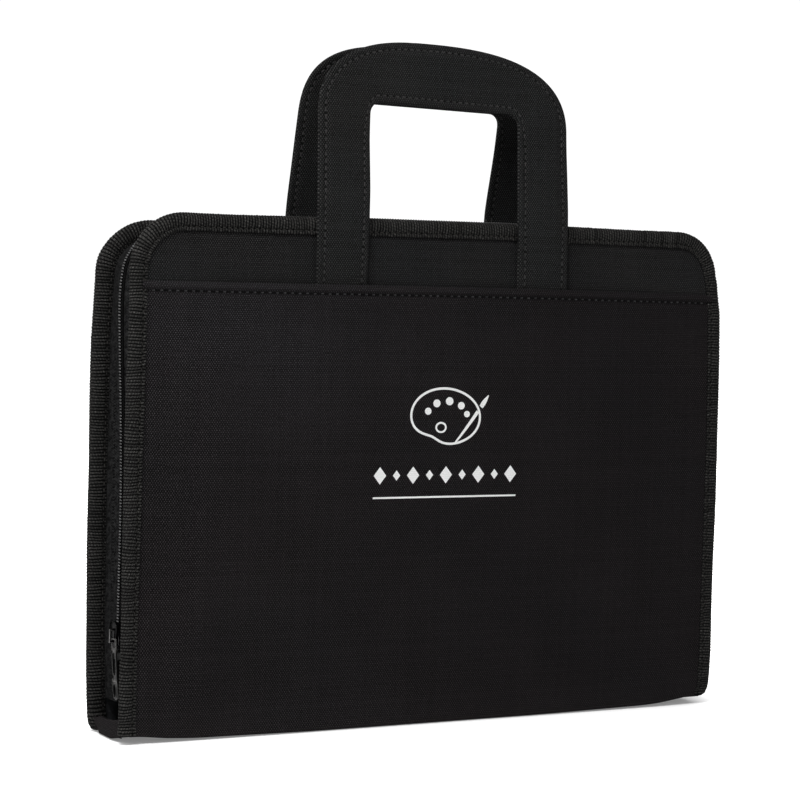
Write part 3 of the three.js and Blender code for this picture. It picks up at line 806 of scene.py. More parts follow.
def covers(side):
    outer_shell(side)
    hem_stitches(side)
    cover_slab(
        side, "canvas_strip",
        lambda x, z: -0.78 + padding(x, z) + 0.25 * ease((z - 225) / 20) * ease((262 - z) / 8) * ease((176 - np.abs(x)) / 8),
        lambda x, z: -1.45 + padding(x, z), 3.0, 5.0, "panel", nodes=("canvas_panel",), rows=60,
    )
    pad = cover_slab(
        side, "foam_layer",
        lambda x, z: -1.25 + padding(x, z) * 0.98,
        lambda x, z: -1.55 + 0 * x, 14.0, 12.0, "foam", nodes=("foam_pad",), rows=30, cols=60,
    )
    cover_slab(
        side, "stiff_board",
        lambda x, z: -1.72 + 0 * x, lambda x, z: -3.2 + 0 * x, 1.9, 4.5,
        "board", nodes=("stiffener_board",), rows=24, cols=50,
    )
    cover_slab(
        side, "inner_lining",
        lambda x, z: -3.4 - lined(x, z), lambda x, z: -3.78 - lined(x, z), 2.0, 3.6,
        "lining", nodes=("lining",), rows=40,
    )
    top = 190.0 if side == "front" else 150.0
    half = 165.2

    def inside(x, z):
        return -4.42 - lined(x, z) - 0.5 * ease((half - np.abs(x)) / 60) * ease(z / 60)

    cols = np.linspace(-half, half, 90)
    sec, uvs = [], []
    for x in cols:
        zs = np.concatenate([np.linspace(4, top - 12, 22), [top - 10, top - 9.2, top - 8.8, top - 8.4, top - 7.6, top - 4, top - 1]])
        add = np.interp(zs, [top - 12, top - 10, top - 9.2, top - 8.8, top - 8.4, top - 7.6, top - 4, top - 1], [0, -0.2, -0.12, 0.12, -0.12, -0.42, -0.5, -0.3])
        p = [(x, float(inside(x, z)) + a, z) for z, a in zip(zs, add)]
        e = float(inside(x, top))
        p += [(x, e - 0.05, top - 0.1), (x, e + 0.25, top), (x, e + 0.4, top - 0.4)]
        p += [(x, float(inside(x, z)) + 0.4, z) for z in np.linspace(top - 4, 4, 22)]
        p = np.array(p)
        sec.append(p)
        v = np.concatenate([[0], np.cumsum(np.linalg.norm(np.diff(p[:, 1:], axis=0), axis=1))])
        uvs.append(np.stack([p[:, 0] + 0.17, v], -1))
    sec = np.array(sec)
    ob = loft(f"{side}_slip_pocket", place(side, sec[..., 0], sec[..., 1], sec[..., 2]), np.array(uvs))
    dress(ob, "lining")
    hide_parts(f"{side}_inner_pocket")
    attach(ob, f"{side}_cover")

    def fn(s):
        x = s - half

        def f(a, b):
            return place(side, a, inside(a, b) + 0.12, b)

        z = np.full_like(x, top - 8.8)
        n = -surface_normal(f, x, z)
        if side == "back":
            n = -n
        return f(x, z), n

    row = stitches(f"{side}_slip_pocket_stitches", fn, 1.5, 2 * half - 1.5, 3.6, 0.64, 0.34, 0.0)
    dress(row, "thread")
    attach(row, f"{side}_cover")


# ---- ribbed binding --------------------------------------------------------------------------------------------
# Cross-section of the folded tape as (distance in from the edge, distance out from the cover's outer plane, how much it is ribbed).
BIND = np.array([
    (9.02, -0.95, 0), (9.0, -0.55, 0.2), (8.92, -0.15, 0.7), (8.7, 0.1, 1), (8.35, 0.2, 1), (7.95, 0.16, 1),
    (7.6, -0.02, 0.9), (7.3, -0.3, 0.6), (7.05, -0.42, 0.4), (6.8, -0.4, 0.4), (6.5, -0.2, 0.8), (6.1, 0.02, 1),
    (5.5, 0.18, 1), (4.7, 0.28, 1), (3.9, 0.3, 1), (3.1, 0.24, 1), (2.35, 0.05, 1), (1.7, -0.27, 1),
    (1.15, -0.72, 1), (0.68, -1.3, 1), (0.34, -1.95, 1), (0.16, -2.6, 1), (0.2, -3.25, 1), (0.45, -3.85, 1),
    (0.9, -4.4, 1), (1.5, -4.85, 1), (2.3, -5.15, 1), (3.3, -5.32, 1), (4.6, -5.36, 1), (6.2, -5.34, 1),
    (7.4, -5.22, 0.6), (8.1, -5.22, 0.6), (8.8, -5.24, 0.9), (9.3, -5.05, 0.5), (9.4, -4.6, 0),
])
BIND_IN = np.array([(8.7, -4.3), (5.0, -4.6), (3.0, -4.5), (1.6, -3.7), (1.25, -2.8), (1.7, -1.8), (2.8, -0.85), (4.5, -0.62), (6.3, -1.0), (7.6, -1.15)])


def binding(side):
    per = 5
    ribs = int(round(RIM_LENGTH / RIB))
    k = np.arange(ribs * per + 1)
    phase = k / per
    s = phase / ribs * RIM_LENGTH
    f = phase % 1.0
    height = np.sqrt(np.clip(1 - (2 * f - 1) ** 2 * 0.97, 0, 1))
    rnd = np.random.default_rng(11 if side == "front" else 12)
    each = 1 + rnd.normal(0, 0.12, ribs + 1)
    amp = each[np.minimum(phase.astype(int), ribs)]
    wave = 0.22 * np.sin(s / 17.0) + 0.16 * np.sin(s / 6.3 + 1)
    ni = len(BIND)
    ring_s = np.clip(s[:, None] + 0.0 * BIND[None, :, 0], 0, RIM_LENGTH)
    # the ribs wander a little as they cross the tape
    cross = np.arange(ni) / ni
    shift = 0.28 * np.sin(s[:, None] / 9.0 + cross[None] * 5.0) + 0.15 * np.sin(s[:, None] / 3.1 + cross[None] * 9 + 2)
    fade = ease(s / 5)[:, None] * ease((RIM_LENGTH - s) / 5)[:, None]
    ring_s = np.clip(ring_s + shift * fade, 0, RIM_LENGTH)
    x, z, nx, nz = (v.reshape(ring_s.shape) for v in rim(ring_s.ravel(), 0))
    prof = BIND
    tang = np.gradient(prof[:, :2], axis=0)
    nrm = np.stack([-tang[:, 1], tang[:, 0]], -1)
    nrm /= np.linalg.norm(nrm, axis=1, keepdims=True)
    out = np.array([(p[0] - 4.5) * n[0] + (p[1] + 2.6) * n[1] for p, n in zip(prof[:, :2], nrm)])
    nrm[out < 0] *= -1
    # keep the outward sense along the lip
    ribh = 0.38 * height[:, None] * amp[:, None] * prof[None, :, 2]
    lip = (prof[:, 0] > 7.6) & (prof[:, 1] > -1)
    ribh = ribh * np.where(lip, 1.15, 1.0)[None]
    soft = 0.10 * np.sin(s / 13 + 0.4)[:, None]
    ins = prof[None, :, 0] + nrm[None, :, 0] * (ribh + soft)
    dd = prof[None, :, 1] + nrm[None, :, 1] * (ribh + soft)
    px = x + nx * ins
    pz = z + nz * ins
    drop = 3.3 if side == "back" else -0.6
    pz = pz - (drop - (1.2 * (px > 0) if side == "front" else 0)) * ease((18 - pz) / 14)
    outer = place(side, px, dd, pz)
    xi, zi, nxi, nzi = rim(s, 0)
    zin = zi[:, None] + nzi[:, None] * BIND_IN[None, :, 0]
    zin = zin - drop * ease((18 - zin) / 14)
    pin = place(side, xi[:, None] + nxi[:, None] * BIND_IN[None, :, 0], np.broadcast_to(BIND_IN[None, :, 1], (len(s), len(BIND_IN))), zin)
    rings = np.concatenate([outer, pin], 1)
    across = np.concatenate([[0], np.cumsum(np.linalg.norm(np.diff(prof[:, :2], axis=0), axis=1))])
    u = np.repeat(s[:, None], rings.shape[1], 1)
    v = np.concatenate([across, np.full(len(BIND_IN), across[-1] + 2)])
    uv = np.stack([u, np.broadcast_to(v, u.shape)], -1)
    # rib height, which the binding material turns into painted shade in the valleys and a painted highlight on the
    # crests
    rib = np.concatenate([height[:, None] * np.clip(prof[None, :, 2] + 0.15, 0, 1) * np.clip(0.55 + 0.45 * amp[:, None], 0, 1.1), np.zeros((len(s), len(BIND_IN)))], 1)
    ob = loft(f"{side}_ribbed_binding", rings, uv, {"rib": rib}, sharp=75)
    dress(ob, "binding")
    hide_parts(f"{side}_edge_binding")
    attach(ob, f"{side}_cover")

    def fn(q):
        a, b, na, nb = rim(q, 0)

        def f(i, dep):
            return place(side, a + na * i, np.full_like(a, dep), b + nb * i)

        p = f(7.0, -0.32)
        n = f(7.0, 0.2) - f(7.0, -0.4)
        return p, n / np.linalg.norm(n, axis=1, keepdims=True)

    row = stitches(f"{side}_binding_stitches", fn, 3, RIM_LENGTH - 3, 3.24, 0.6, 0.38, -0.05, 0.75, 0.4)
    dress(row, "thread_light")
    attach(row, f"{side}_cover")

    def fn2(q):
        a, b, na, nb = rim(q, 0)

        def f(i, dep):
            return place(side, a + na * i, np.full_like(a, dep), b + nb * i)

        p = f(7.75, -5.26)
        n = f(7.75, -5.6) - f(7.75, -5.0)
        return p, n / np.linalg.norm(n, axis=1, keepdims=True)

    row = stitches(f"{side}_binding_inner_stitches", fn2, 3, RIM_LENGTH - 3, 3.24, 0.6, 0.36, 0.0)
    dress(row, "thread_light")
    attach(row, f"{side}_cover")


# ---- handles ---------------------------------------------------------------------------------------------------
def bezier(p0, p1, p2, p3, n):
    t = np.linspace(0, 1, n)[:, None]
    p0, p1, p2, p3 = map(np.array, (p0, p1, p2, p3))
    return (1 - t) ** 3 * p0 + 3 * (1 - t) ** 2 * t * p1 + 3 * (1 - t) * t * t * p2 + t**3 * p3


def resample(line, n):
    line = np.asarray(line, float)
    d = np.concatenate([[0], np.cumsum(np.linalg.norm(np.diff(line, axis=0), axis=1))])
    s = np.linspace(0, d[-1], n)
    return np.stack([np.interp(s, d, line[:, 0]), np.interp(s, d, line[:, 1])], -1), d[-1]


def corner(cx, cz, r, a0, a1, n=10):
    a = np.radians(np.linspace(a0, a1, n))
    return np.stack([cx + r * np.cos(a), cz + r * np.sin(a)], -1)


def handle_curves(side):
    """Outer and inner edges of a handle from the left foot over to the right foot, matched point for point."""
    foot = 176.0
    if side == "front":
        left = [(-77.9, foot), (-77.6, 236), (-77.5, 290), (-77.4, 318)]
        arc = np.concatenate([
            bezier((-77.4, 328), (-77.2, 351), (-57, 365.3), (-20, 365.4), 26),
            bezier((-20, 365.5), (6, 365.3), (74.3, 367.4), (76.3, 324), 40)[1:],
        ])
        right = [(76.5, 312), (77.6, 279), (77.9, 236), (77.9, foot)]
        il = [(-47.9, foot), (-47.2, 236), (-46.4, 285), (-46.9, 312)]
        ia = np.concatenate([corner(-40.2, 325.8, 6.6, 180, 90), corner(38.6, 323.4, 7.0, 86, 0)])
        ir = [(45.6, 310), (45.8, 272), (46.5, 236), (46.5, foot)]
    else:
        left = [(-77.9, foot), (-77.2, 236), (-76.5, 273), (-76.3, 316)]
        arc = np.concatenate([
            bezier((-76.2, 328), (-75.8, 353), (-62, 365.0), (-26, 365.2), 26),
            bezier((-26, 365.2), (22, 365.6), (77.3, 364), (77.6, 326), 40)[1:],
        ])
        right = [(77.5, 312), (77.5, 272), (77.8, 236), (77.9, foot)]
        il = [(-46.5, foot), (-46.3, 236), (-45.8, 285), (-45.8, 312)]
        ia = np.concatenate([corner(-38.8, 326.8, 7.0, 180, 90), corner(41.1, 325.9, 6.8, 88, 0)])
        ir = [(47.9, 312), (47.3, 277), (47.6, 236), (47.9, foot)]
    outer = np.concatenate([np.array(left), arc, np.array(right)])
    inner = np.concatenate([np.array(il), ia, np.array(ir)])
    # match the legs by height, the bow by share of length
    n_leg, n_top = 70, 150
    zl = np.concatenate([np.linspace(foot, 226, 12)[:-1], np.linspace(226, 248, 26)[:-1], np.linspace(248, 308, n_leg - 36)])

    def part(line, low, high, left_side):
        pts = line[: len(line) // 2] if left_side else line[len(line) // 2 :][::-1]
        return np.interp(zl, pts[:, 1], pts[:, 0])

    def leg_x(line, left_side):
        m = (line[:, 0] < 0) if left_side else (line[:, 0] > 0)
        pts = line[m]
        pts = pts[np.argsort(pts[:, 1], kind="stable")]
        return np.interp(zl, pts[:, 1], pts[:, 0])

    def bowed(line, xl, xr):
        m = line[:, 1] > 308.5
        mid = np.concatenate([[(xl, 308.0)], line[m], [(xr, 308.0)]])
        p, _ = resample(mid, n_top)
        return p

    ol, orr = leg_x(outer, True), leg_x(outer, False)
    il_, ir_ = leg_x(inner, True), leg_x(inner, False)
    ob = bowed(outer, ol[-1], orr[-1])
    ib = bowed(inner, il_[-1], ir_[-1])
    # pair bow points by share of length so that the cross-sections stay square to the band
    def by_share(p, n):
        return resample(p, n)[0]

    ob = by_share(ob, n_top)
    ib = by_share(ib, n_top)
    t = np.linspace(0, 1, n_top)
    # the inner edge turns its corners early: hold the pairing on the corners
    so = np.concatenate([[0], np.cumsum(np.linalg.norm(np.diff(ob, axis=0), axis=1))])
    si = np.concatenate([[0], np.cumsum(np.linalg.norm(np.diff(ib, axis=0), axis=1))])
    co = (so[-1] * np.array([0, 0.27, 0.73, 1]))
    ci = np.array([0, 19.5, si[-1] - 19.5, si[-1]])
    target = np.interp(so, co, ci)
    ib = np.stack([np.interp(target, si, ib[:, 0]), np.interp(target, si, ib[:, 1])], -1)
    O = np.concatenate([np.stack([ol, zl], -1), ob[1:-1], np.stack([orr, zl], -1)[::-1]])
    I = np.concatenate([np.stack([il_, zl], -1), ib[1:-1], np.stack([ir_, zl], -1)[::-1]])
    return O, I


def handle_place(side, x, d, z):
    """Adds the handle's own lean to the cover's shape."""
    z = np.asarray(z, float)
    u = np.clip(z - 262, 0, None)
    run = np.where(u < 20, u * u / 40, u - 10)
    tan = math.tan(math.radians(2.5 if side == "front" else 10.5))
    p = place(side, x, d, z)
    s = 1 if side == "front" else -1
    p[..., 1] += s * tan * run / 1000
    p[..., 2] -= (0.5 * tan * tan * run) / 1000
    return p


def handle(side):
    O, I = handle_curves(side)
    width = np.linalg.norm(O - I, axis=1)
    # profile across the band: distance from the nearer edge, half-thickness outward and inward, centred on the core
    e = np.array([0.0, 0.12, 0.4, 0.85, 1.5, 2.4, 3.1, 3.55, 3.9, 4.25, 4.7, 5.6, 7.4, 10.0])
    h = np.array([0.0, 0.72, 1.15, 1.45, 1.64, 1.68, 1.55, 1.33, 1.22, 1.33, 1.55, 1.74, 1.84, 1.88])
    mids = np.linspace(0.36, 0.64, 5)
    rings, uvs = [], []
    along = np.concatenate([[0], np.cumsum(np.linalg.norm(np.diff((O + I) / 2, axis=0), axis=1))])
    for k in range(len(O)):
        o, i, w = O[k], I[k], width[k]
        dirn = (i - o) / w
        dist = np.concatenate([e, mids * w, w - e[::-1]])
        edge = np.minimum(dist, w - dist)
        t = np.interp(edge, e, h)
        z = o[1] + dirn[1] * dist
        x = o[0] + dirn[0] * dist
        inside = 1 - ease((z - 234.0) / 7.5)  # pressed thinner where it goes down into the pocket
        out_d = 2.62 + t - inside * 0.95 * (t / 1.88)
        in_d = 2.62 - t * 0.92 + inside * 0.15
        ridge = 0.03 * np.sin(x / 7 + z / 5)
        a = handle_place(side, x, out_d + ridge, z)
        b = handle_place(side, x[::-1][1:-1], in_d[::-1][1:-1], z[::-1][1:-1])
        rings.append(np.concatenate([a, b]))
        vv = np.concatenate([dist, w + (w - dist[::-1][1:-1])])
        if 308 < max(o[1], 0) and k:
            pass
        uvs.append(np.stack([np.full(len(vv), along[k]), vv], -1))
    rings = np.array(rings)
    uv = np.array(uvs)
    # the cloth is cut in one piece, so its weave stays square to the ground all the way round
    flatuv = np.zeros_like(uv)
    for k in range(len(O)):
        o, i, w = O[k], I[k], width[k]
        dirn = (i - o) / w
        vv = uv[k, :, 1]
        dd = np.where(vv <= w, vv, 2 * w - vv)
        flatuv[k, :, 0] = o[0] + dirn[0] * dd
        flatuv[k, :, 1] = o[1] + dirn[1] * dd
    ob = loft(f"{side}_carry_handle", rings, flatuv, sharp=75)
    dress(ob, "handle")
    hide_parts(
        f"{side}_handle_face", f"{side}_handle_core", f"{side}_handle_backing",
        f"{side}_handle_tab_left", f"{side}_handle_tab_right",
    )
    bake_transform(ob)

    # thread on both faces, on both edges of the band
    def row(edge_line, other, dist, face):
        ln = np.linalg.norm(other - edge_line, axis=1, keepdims=True)
        line = edge_line + (other - edge_line) / ln * dist
        cum = np.concatenate([[0], np.cumsum(np.linalg.norm(np.diff(line, axis=0), axis=1))])

        def at(q, dep):
            x = np.interp(q, cum, line[:, 0])
            z = np.interp(q, cum, line[:, 1])
            inside = 1 - ease((z - 234.0) / 7.5)
            base = 2.62 + 1.22 - inside * 0.62 if face == "out" else 2.62 - 1.22 * 0.92 + inside * 0.15
            return handle_place(side, x, base + dep, z)

        def fn(q):
            p = at(q, 0.0)
            nn = at(q, 0.3) - at(q, -0.3)
            nn /= np.linalg.norm(nn, axis=1, keepdims=True)
            return p, nn if face == "out" else -nn

        lo = np.interp(228.0, [176, 308], [0, 132.0])
        return fn, lo, cum[-1] - lo

    parts = []
    for tag, el, ot in (("outer", O, I), ("inner", I, O)):
        for face in ("out", "in"):
            fn, a, b = row(el, ot, 3.9, face)
            parts.append(stitches(f"{side}_hs_{tag}_{face}", fn, a, b, 3.9, 0.6, 0.42, -0.08, 0.75, 0.5))
    st = join(parts, f"{side}_handle_stitches")
    dress(st, "thread")
    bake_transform(st)


# ---- zip -------------------------------------------------------------------------------------------------------
ZS = np.array([0, 40, 66, 96, 122, 160, 196, 221, 232, 238, 244, 250, 255, 260, 266, 275, 300, 345, 375, 430])
ZR = np.array([9.0, 9.0, 9.0, 9.0, 8.9, 7.8, 6.2, 5.3, 5.8, 7.0, 8.2, 8.9, 9.2, 9.0, 8.1, 7.1, 5.3, 1.3, 0.2, 0.4])


def zip_inset(s):
    """Distance of the zip's edge in from the outline, by distance along it from the foot; the two sides match."""
    q = np.minimum(s, RIM_LENGTH - s)
    return sum(np.interp(q + k, ZS, ZR) for k in (-9, -6, -3, 0, 3, 6, 9)) / 7


def zip_point(s, inset, y):
    x, z, nx, nz = rim(s, 0)
    ins = zip_inset(s) + inset
    bow = np.cos(PI * np.clip((x - 30) / 368, -0.5, 0.5)) ** 2 * ease((z - 200) / 60)
    z = z + nz * ins
    return np.stack([x + nx * ins, np.broadcast_to(y, x.shape), z + bow + 1.3 * ease(z / 260)], -1) / 1000


def zip_half(side):
    m = -1 if side == "front" else 1
    s = np.arange(ZIP_END - FOOT, RIM_LENGTH - (ZIP_END - FOOT) + 0.01, 2.0)
    x, z, nx, nz = rim(s, 0)

    def on_cover(ins, d):
        return place(side, x + nx * ins, np.full_like(x, d), z + nz * ins)

    hid = on_cover(5.0, -4.75)
    start = on_cover(9.35, -4.95)
    end = zip_point(s, 0.35, m * 1.85)
    pull = zip_point(s, 0.3, m * 6.0)
    first = on_cover(9.8, -7.4)
    t = np.linspace(0, 1, 13)[:, None, None]
    curve = (1 - t) ** 3 * start + 3 * (1 - t) ** 2 * t * first + 3 * (1 - t) * t * t * pull + t**3 * end
    sag = 0.25e-3 * np.sin(s / 21.0 + (0 if side == "front" else 2))
    under = [zip_point(s, i, m * y) for i, y in ((0.75, 1.35), (1.15, 0.7), (1.2, 0.12))]
    lines = np.concatenate([hid[None], curve, np.array(under)], 0)  # across, along, 3
    centre = np.array([0, 0, 0.13])
    tang = np.gradient(lines, axis=0)
    run = np.gradient(lines, axis=1)
    nrm = np.cross(tang, run)
    nrm /= np.linalg.norm(nrm, axis=2, keepdims=True)
    # face away from the inside of the case
    outward = np.stack([-nx, np.zeros_like(nx), -nz], -1)
    sign = np.sign((nrm * outward[None]).sum(2, keepdims=True).mean(axis=(0, 1), keepdims=True))
    nrm = nrm * sign
    lines = lines + nrm * (sag[None, :, None] * ease(np.linspace(0, 1, len(lines)) * 2)[:, None, None] * ease((0.8 - np.linspace(0, 1, len(lines))) * 3)[:, None, None])
    top = lines + nrm * 0.25e-3
    bot = lines - nrm * 0.3e-3
    cum = np.concatenate([[0], np.cumsum(np.linalg.norm(np.diff(lines[:, 10], axis=0), axis=1))]) * 1000
    uv = np.stack([np.repeat(s[None], len(lines), 0), np.repeat(cum[:, None], len(s), 1)], -1)
    # painted shade: the last rows of the tape, under the coil, are coloured near black for the shadowed gaps between
    # the teeth
    shade = np.zeros(lines.shape[:2])
    shade[-4:] = [[0.5], [1.0], [1.0], [1.0]]
    ob = slab(f"{side}_zip_tape_cloth", top, bot, uv, {"dark": np.concatenate([shade, shade])})
    dress(ob, "tape")
    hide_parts(f"{side}_zip_tape")
    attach(ob, f"{side}_cover")

    # coil: rounded loops across the edge of the tape, the two sides interlocking
    lo, hi = ZIP_LOW - FOOT, RIM_LENGTH - (ZIP_LOW - FOOT)
    pitch = 1.6
    n = int((hi - lo) / pitch)
    q = lo + (np.arange(n) + (0.25 if side == "front" else 0.75)) * pitch
    x, z, nx, nz = rim(q, 0)
    outn = np.stack([-nx, np.zeros_like(nx), -nz], -1)
    c = zip_point(q, -0.1 if side == "front" else -0.65, m * (1.3 if side == "front" else 0.65))
    along = zip_point(q + 0.3, 0, 0.0) - zip_point(q - 0.3, 0, 0.0)
    along /= np.linalg.norm(along, axis=1, keepdims=True)
    across = np.zeros_like(along)
    across[:, 1] = 1.0
    tilt = across + along * (0.10 * m)
    tilt /= np.linalg.norm(tilt, axis=1, keepdims=True)
    # painted shade: the front half's teeth are coloured near black, the back half's keep the pale coil colour
    teeth = capsules(f"{side}_teeth", c, tilt, outn, (2.2 if side == "front" else 2.1) * 1e-3, 0.42e-3, 1.0, 8, 1.0 if side == "front" else 0.0)
    # the cord-like return of the coil along the tape
    qs = np.arange(lo - 0.5, hi + 0.5, 1.2)
    cc = zip_point(qs, 0.0 if side == "front" else 0.3, m * 2.45)
    along = frames(cc)
    a2 = np.cross(along, np.broadcast_to(np.array([0.0, 1, 0]), along.shape))
    a2 /= np.linalg.norm(a2, axis=1, keepdims=True)
    th = np.arange(8) / 8 * 2 * PI
    ring = cc[:, None] + (0.75e-3 if side == "front" else 0.42e-3) * (a2[:, None] * np.cos(th)[None, :, None] + np.array([0.0, 1, 0])[None, None] * np.sin(th)[None, :, None])
    uv = np.stack([np.repeat(qs[:, None], 8, 1), np.repeat(th[None] * 0.4, len(qs), 0)], -1)
    # painted shade: the cord is coloured near black along its length
    cord = loft(f"{side}_coil_cord", ring, uv, {"dark": np.ones(ring.shape[:2])}, sharp=80)
    ob = join([teeth, cord], f"{side}_zip_coil_teeth")
    dress(ob, "coil")
    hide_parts(f"{side}_zip_coil")
    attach(ob, f"{side}_cover")


# ---- slider and pull -------------------------------------------------------------------------------------------
def plate_x(name, outline, x0, x1, holes=(), bevel=0.22):
    """A bevelled plate, drawn in Y and Z, from x0 to x1, in mm."""
    bm = bmesh.new()
    loops = [outline, *holes]
    coords = [[Vector((0, y, z)) for y, z in lp] for lp in loops]
    flat = [v for lp in coords for v in lp]
    tris = tessellate_polygon(coords)
    vs = [bm.verts.new((x0 / 1000, v.y / 1000, v.z / 1000)) for v in flat]
    for t in tris:
        bm.faces.new([vs[i] for i in t])
    bmesh.ops.dissolve_limit(bm, angle_limit=0.01, verts=bm.verts, edges=bm.edges)
    geo = bmesh.ops.extrude_face_region(bm, geom=list(bm.faces))
    moved = [v for v in geo["geom"] if isinstance(v, bmesh.types.BMVert)]
    bmesh.ops.translate(bm, verts=moved, vec=((x1 - x0) / 1000, 0, 0))
    bmesh.ops.recalc_face_normals(bm, faces=bm.faces)
    sharp = [e for e in bm.edges if len(e.link_faces) == 2 and e.calc_face_angle(0) > math.radians(50)]
    if bevel:
        bmesh.ops.bevel(bm, geom=sharp, offset=bevel / 1000, segments=3, affect="EDGES", profile=0.5, clamp_overlap=True)
    me = bpy.data.meshes.new(name)
    bm.to_mesh(me)
    bm.free()
    ob = bpy.data.objects.new(name, me)
    bpy.context.scene.collection.objects.link(ob)
    me.polygons.foreach_set("use_smooth", np.ones(len(me.polygons), bool))
    me.set_sharp_from_angle(angle=math.radians(40))
    return ob


def block(name, x0, x1, y0, y1, z0, z1, bevel=0.2):
    return plate_x(name, [(y0, z0), (y1, z0), (y1, z1), (y0, z1)], x0, x1, (), bevel)


def oval(cy, cz, a, b, n=20, start=0.0):
    return [(cy + a * math.cos(start + 2 * PI * i / n), cz + b * math.sin(start + 2 * PI * i / n)) for i in range(n)]


def smooth_outline(points, rounds=2):
    p = np.array(points, float)
    for _ in range(rounds):
        q = np.roll(p, -1, 0)
        p = np.stack([0.75 * p + 0.25 * q, 0.25 * p + 0.75 * q], 1).reshape(-1, 2)
    return [tuple(v) for v in p]


def slider():
    sx, sz = 9.8 - 8.2 - 184.0, 53.5
    wing = smooth_outline([(-2.2, -6.6), (-3.0, -4.0), (-4.4, 0.5), (-4.9, 3.4), (-4.2, 5.6), (-2.0, 6.9), (2.0, 6.9), (4.2, 5.6), (4.9, 3.4), (4.4, 0.5), (3.0, -4.0), (2.2, -6.6)])
    up = [(y, z + sz) for y, z in wing]
    parts = [
        plate_x("s1", up, sx + 3.9, sx + 5.4, (), 0.4),
        plate_x("s2", up, sx + 9.1, sx + 10.3, (), 0.35),
        block("s3", sx + 5.2, sx + 9.3, -0.45, 0.45, sz - 4.0, sz + 4.6, 0.12),
        # side flanges that guide the teeth
        plate_x("s4", [(-4.75, sz - 4.9), (-3.95, sz - 4.9), (-3.95, sz + 1.0), (-3.2, sz + 4.2), (-3.9, sz + 4.4), (-4.75, sz + 0.8)], sx + 5.2, sx + 6.3, (), 0.12),
        plate_x("s5", [(4.75, sz - 4.9), (4.75, sz + 0.8), (3.9, sz + 4.4), (3.2, sz + 4.2), (3.95, sz + 1.0), (3.95, sz - 4.9)], sx + 5.2, sx + 6.3, (), 0.12),
        # bridge that holds the pull
        block("s6", sx + 1.75, sx + 2.6, -0.9, 0.9, sz - 4.2, sz + 3.2, 0.3),
        block("s7", sx + 1.8, sx + 4.3, -0.9, 0.9, sz - 4.2, sz - 3.1, 0.25),
        block("s8", sx + 1.8, sx + 4.3, -0.9, 0.9, sz + 2.1, sz + 3.2, 0.25),
    ]
    ob = join(parts, "zip_slider_shell")
    dress(ob, "enamel")
    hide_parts("zip_slider_body")
    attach(ob, "zip_slider")

    pz, px = sz - 2.2, sx + 3.25
    tab = [(2.9, -4.4), (3.1, -8.0), (3.1, -12), (3.1, -17.5), (3.1, -21), (3.5, -24), (3.6, -27), (3.1, -30.2), (1.5, -31.6),
           (-1.5, -31.6), (-3.1, -30.2), (-3.6, -27), (-3.5, -24), (-3.1, -21), (-3.1, -17.5), (-3.1, -12), (-3.1, -8.0), (-2.9, -4.4)]
    out = [(y, z + pz) for y, z in smooth_outline(tab, 1)]
    hole = oval(0, pz - 26.6, 1.85, 3.3, 24)
    inner = [(1.7, -7.2), (1.8, -10), (1.8, -16.5), (0.9, -18.6), (-0.9, -18.6), (-1.8, -16.5), (-1.8, -10), (-1.7, -7.2)]
    slot = [(y, z + pz) for y, z in smooth_outline(inner, 1)]
    parts = [
        plate_x("p1", out, px - 0.55, px + 0.45, [hole, slot], 0.24),
        plate_x("p2", [(1.6, pz - 5.4), (2.9, pz - 5.4), (2.9, pz + 0.55), (1.6, pz + 0.55)], px - 0.5, px + 0.45, (), 0.22),
        plate_x("p3", [(-2.9, pz - 5.4), (-1.6, pz - 5.4), (-1.6, pz + 0.55), (-2.9, pz + 0.55)], px - 0.5, px + 0.45, (), 0.22),
        # raised rim round its ring
        plate_x("p5", oval(0, pz - 26.6, 2.75, 4.3, 28), px - 0.8, px - 0.4, [oval(0, pz - 26.6, 1.9, 3.35, 28)], 0.14),
    ]
    n = 14
    th = np.arange(n) / n * 2 * PI
    ys = np.array([-2.9, -2.7, 2.7, 2.9])
    rr = np.array([0.35, 0.47, 0.47, 0.35])
    ring = np.stack([np.stack([(px - 0.05 + r * np.cos(th)) / 1000, np.full(n, y / 1000), (pz + r * np.sin(th)) / 1000], -1) for y, r in zip(ys, rr)])
    parts.append(loft("p6", ring, np.zeros((4, n, 2)), sharp=60))
    ob = join(parts, "zip_pull_shell")
    # it hangs with its end leaning in against the tape
    pin = Vector((px / 1000, 0, pz / 1000))
    lean = Matrix.Rotation(math.radians(-3.5), 4, "Y") @ Matrix.Rotation(math.radians(-0.8), 4, "X")
    ob.data.transform(Matrix.Translation(pin + Vector((0.0007, -0.0016, 0))) @ lean @ Matrix.Translation(-pin))
    dress(ob, "pull")
    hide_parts("zip_pull_tab")
    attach(ob, "zip_pull")


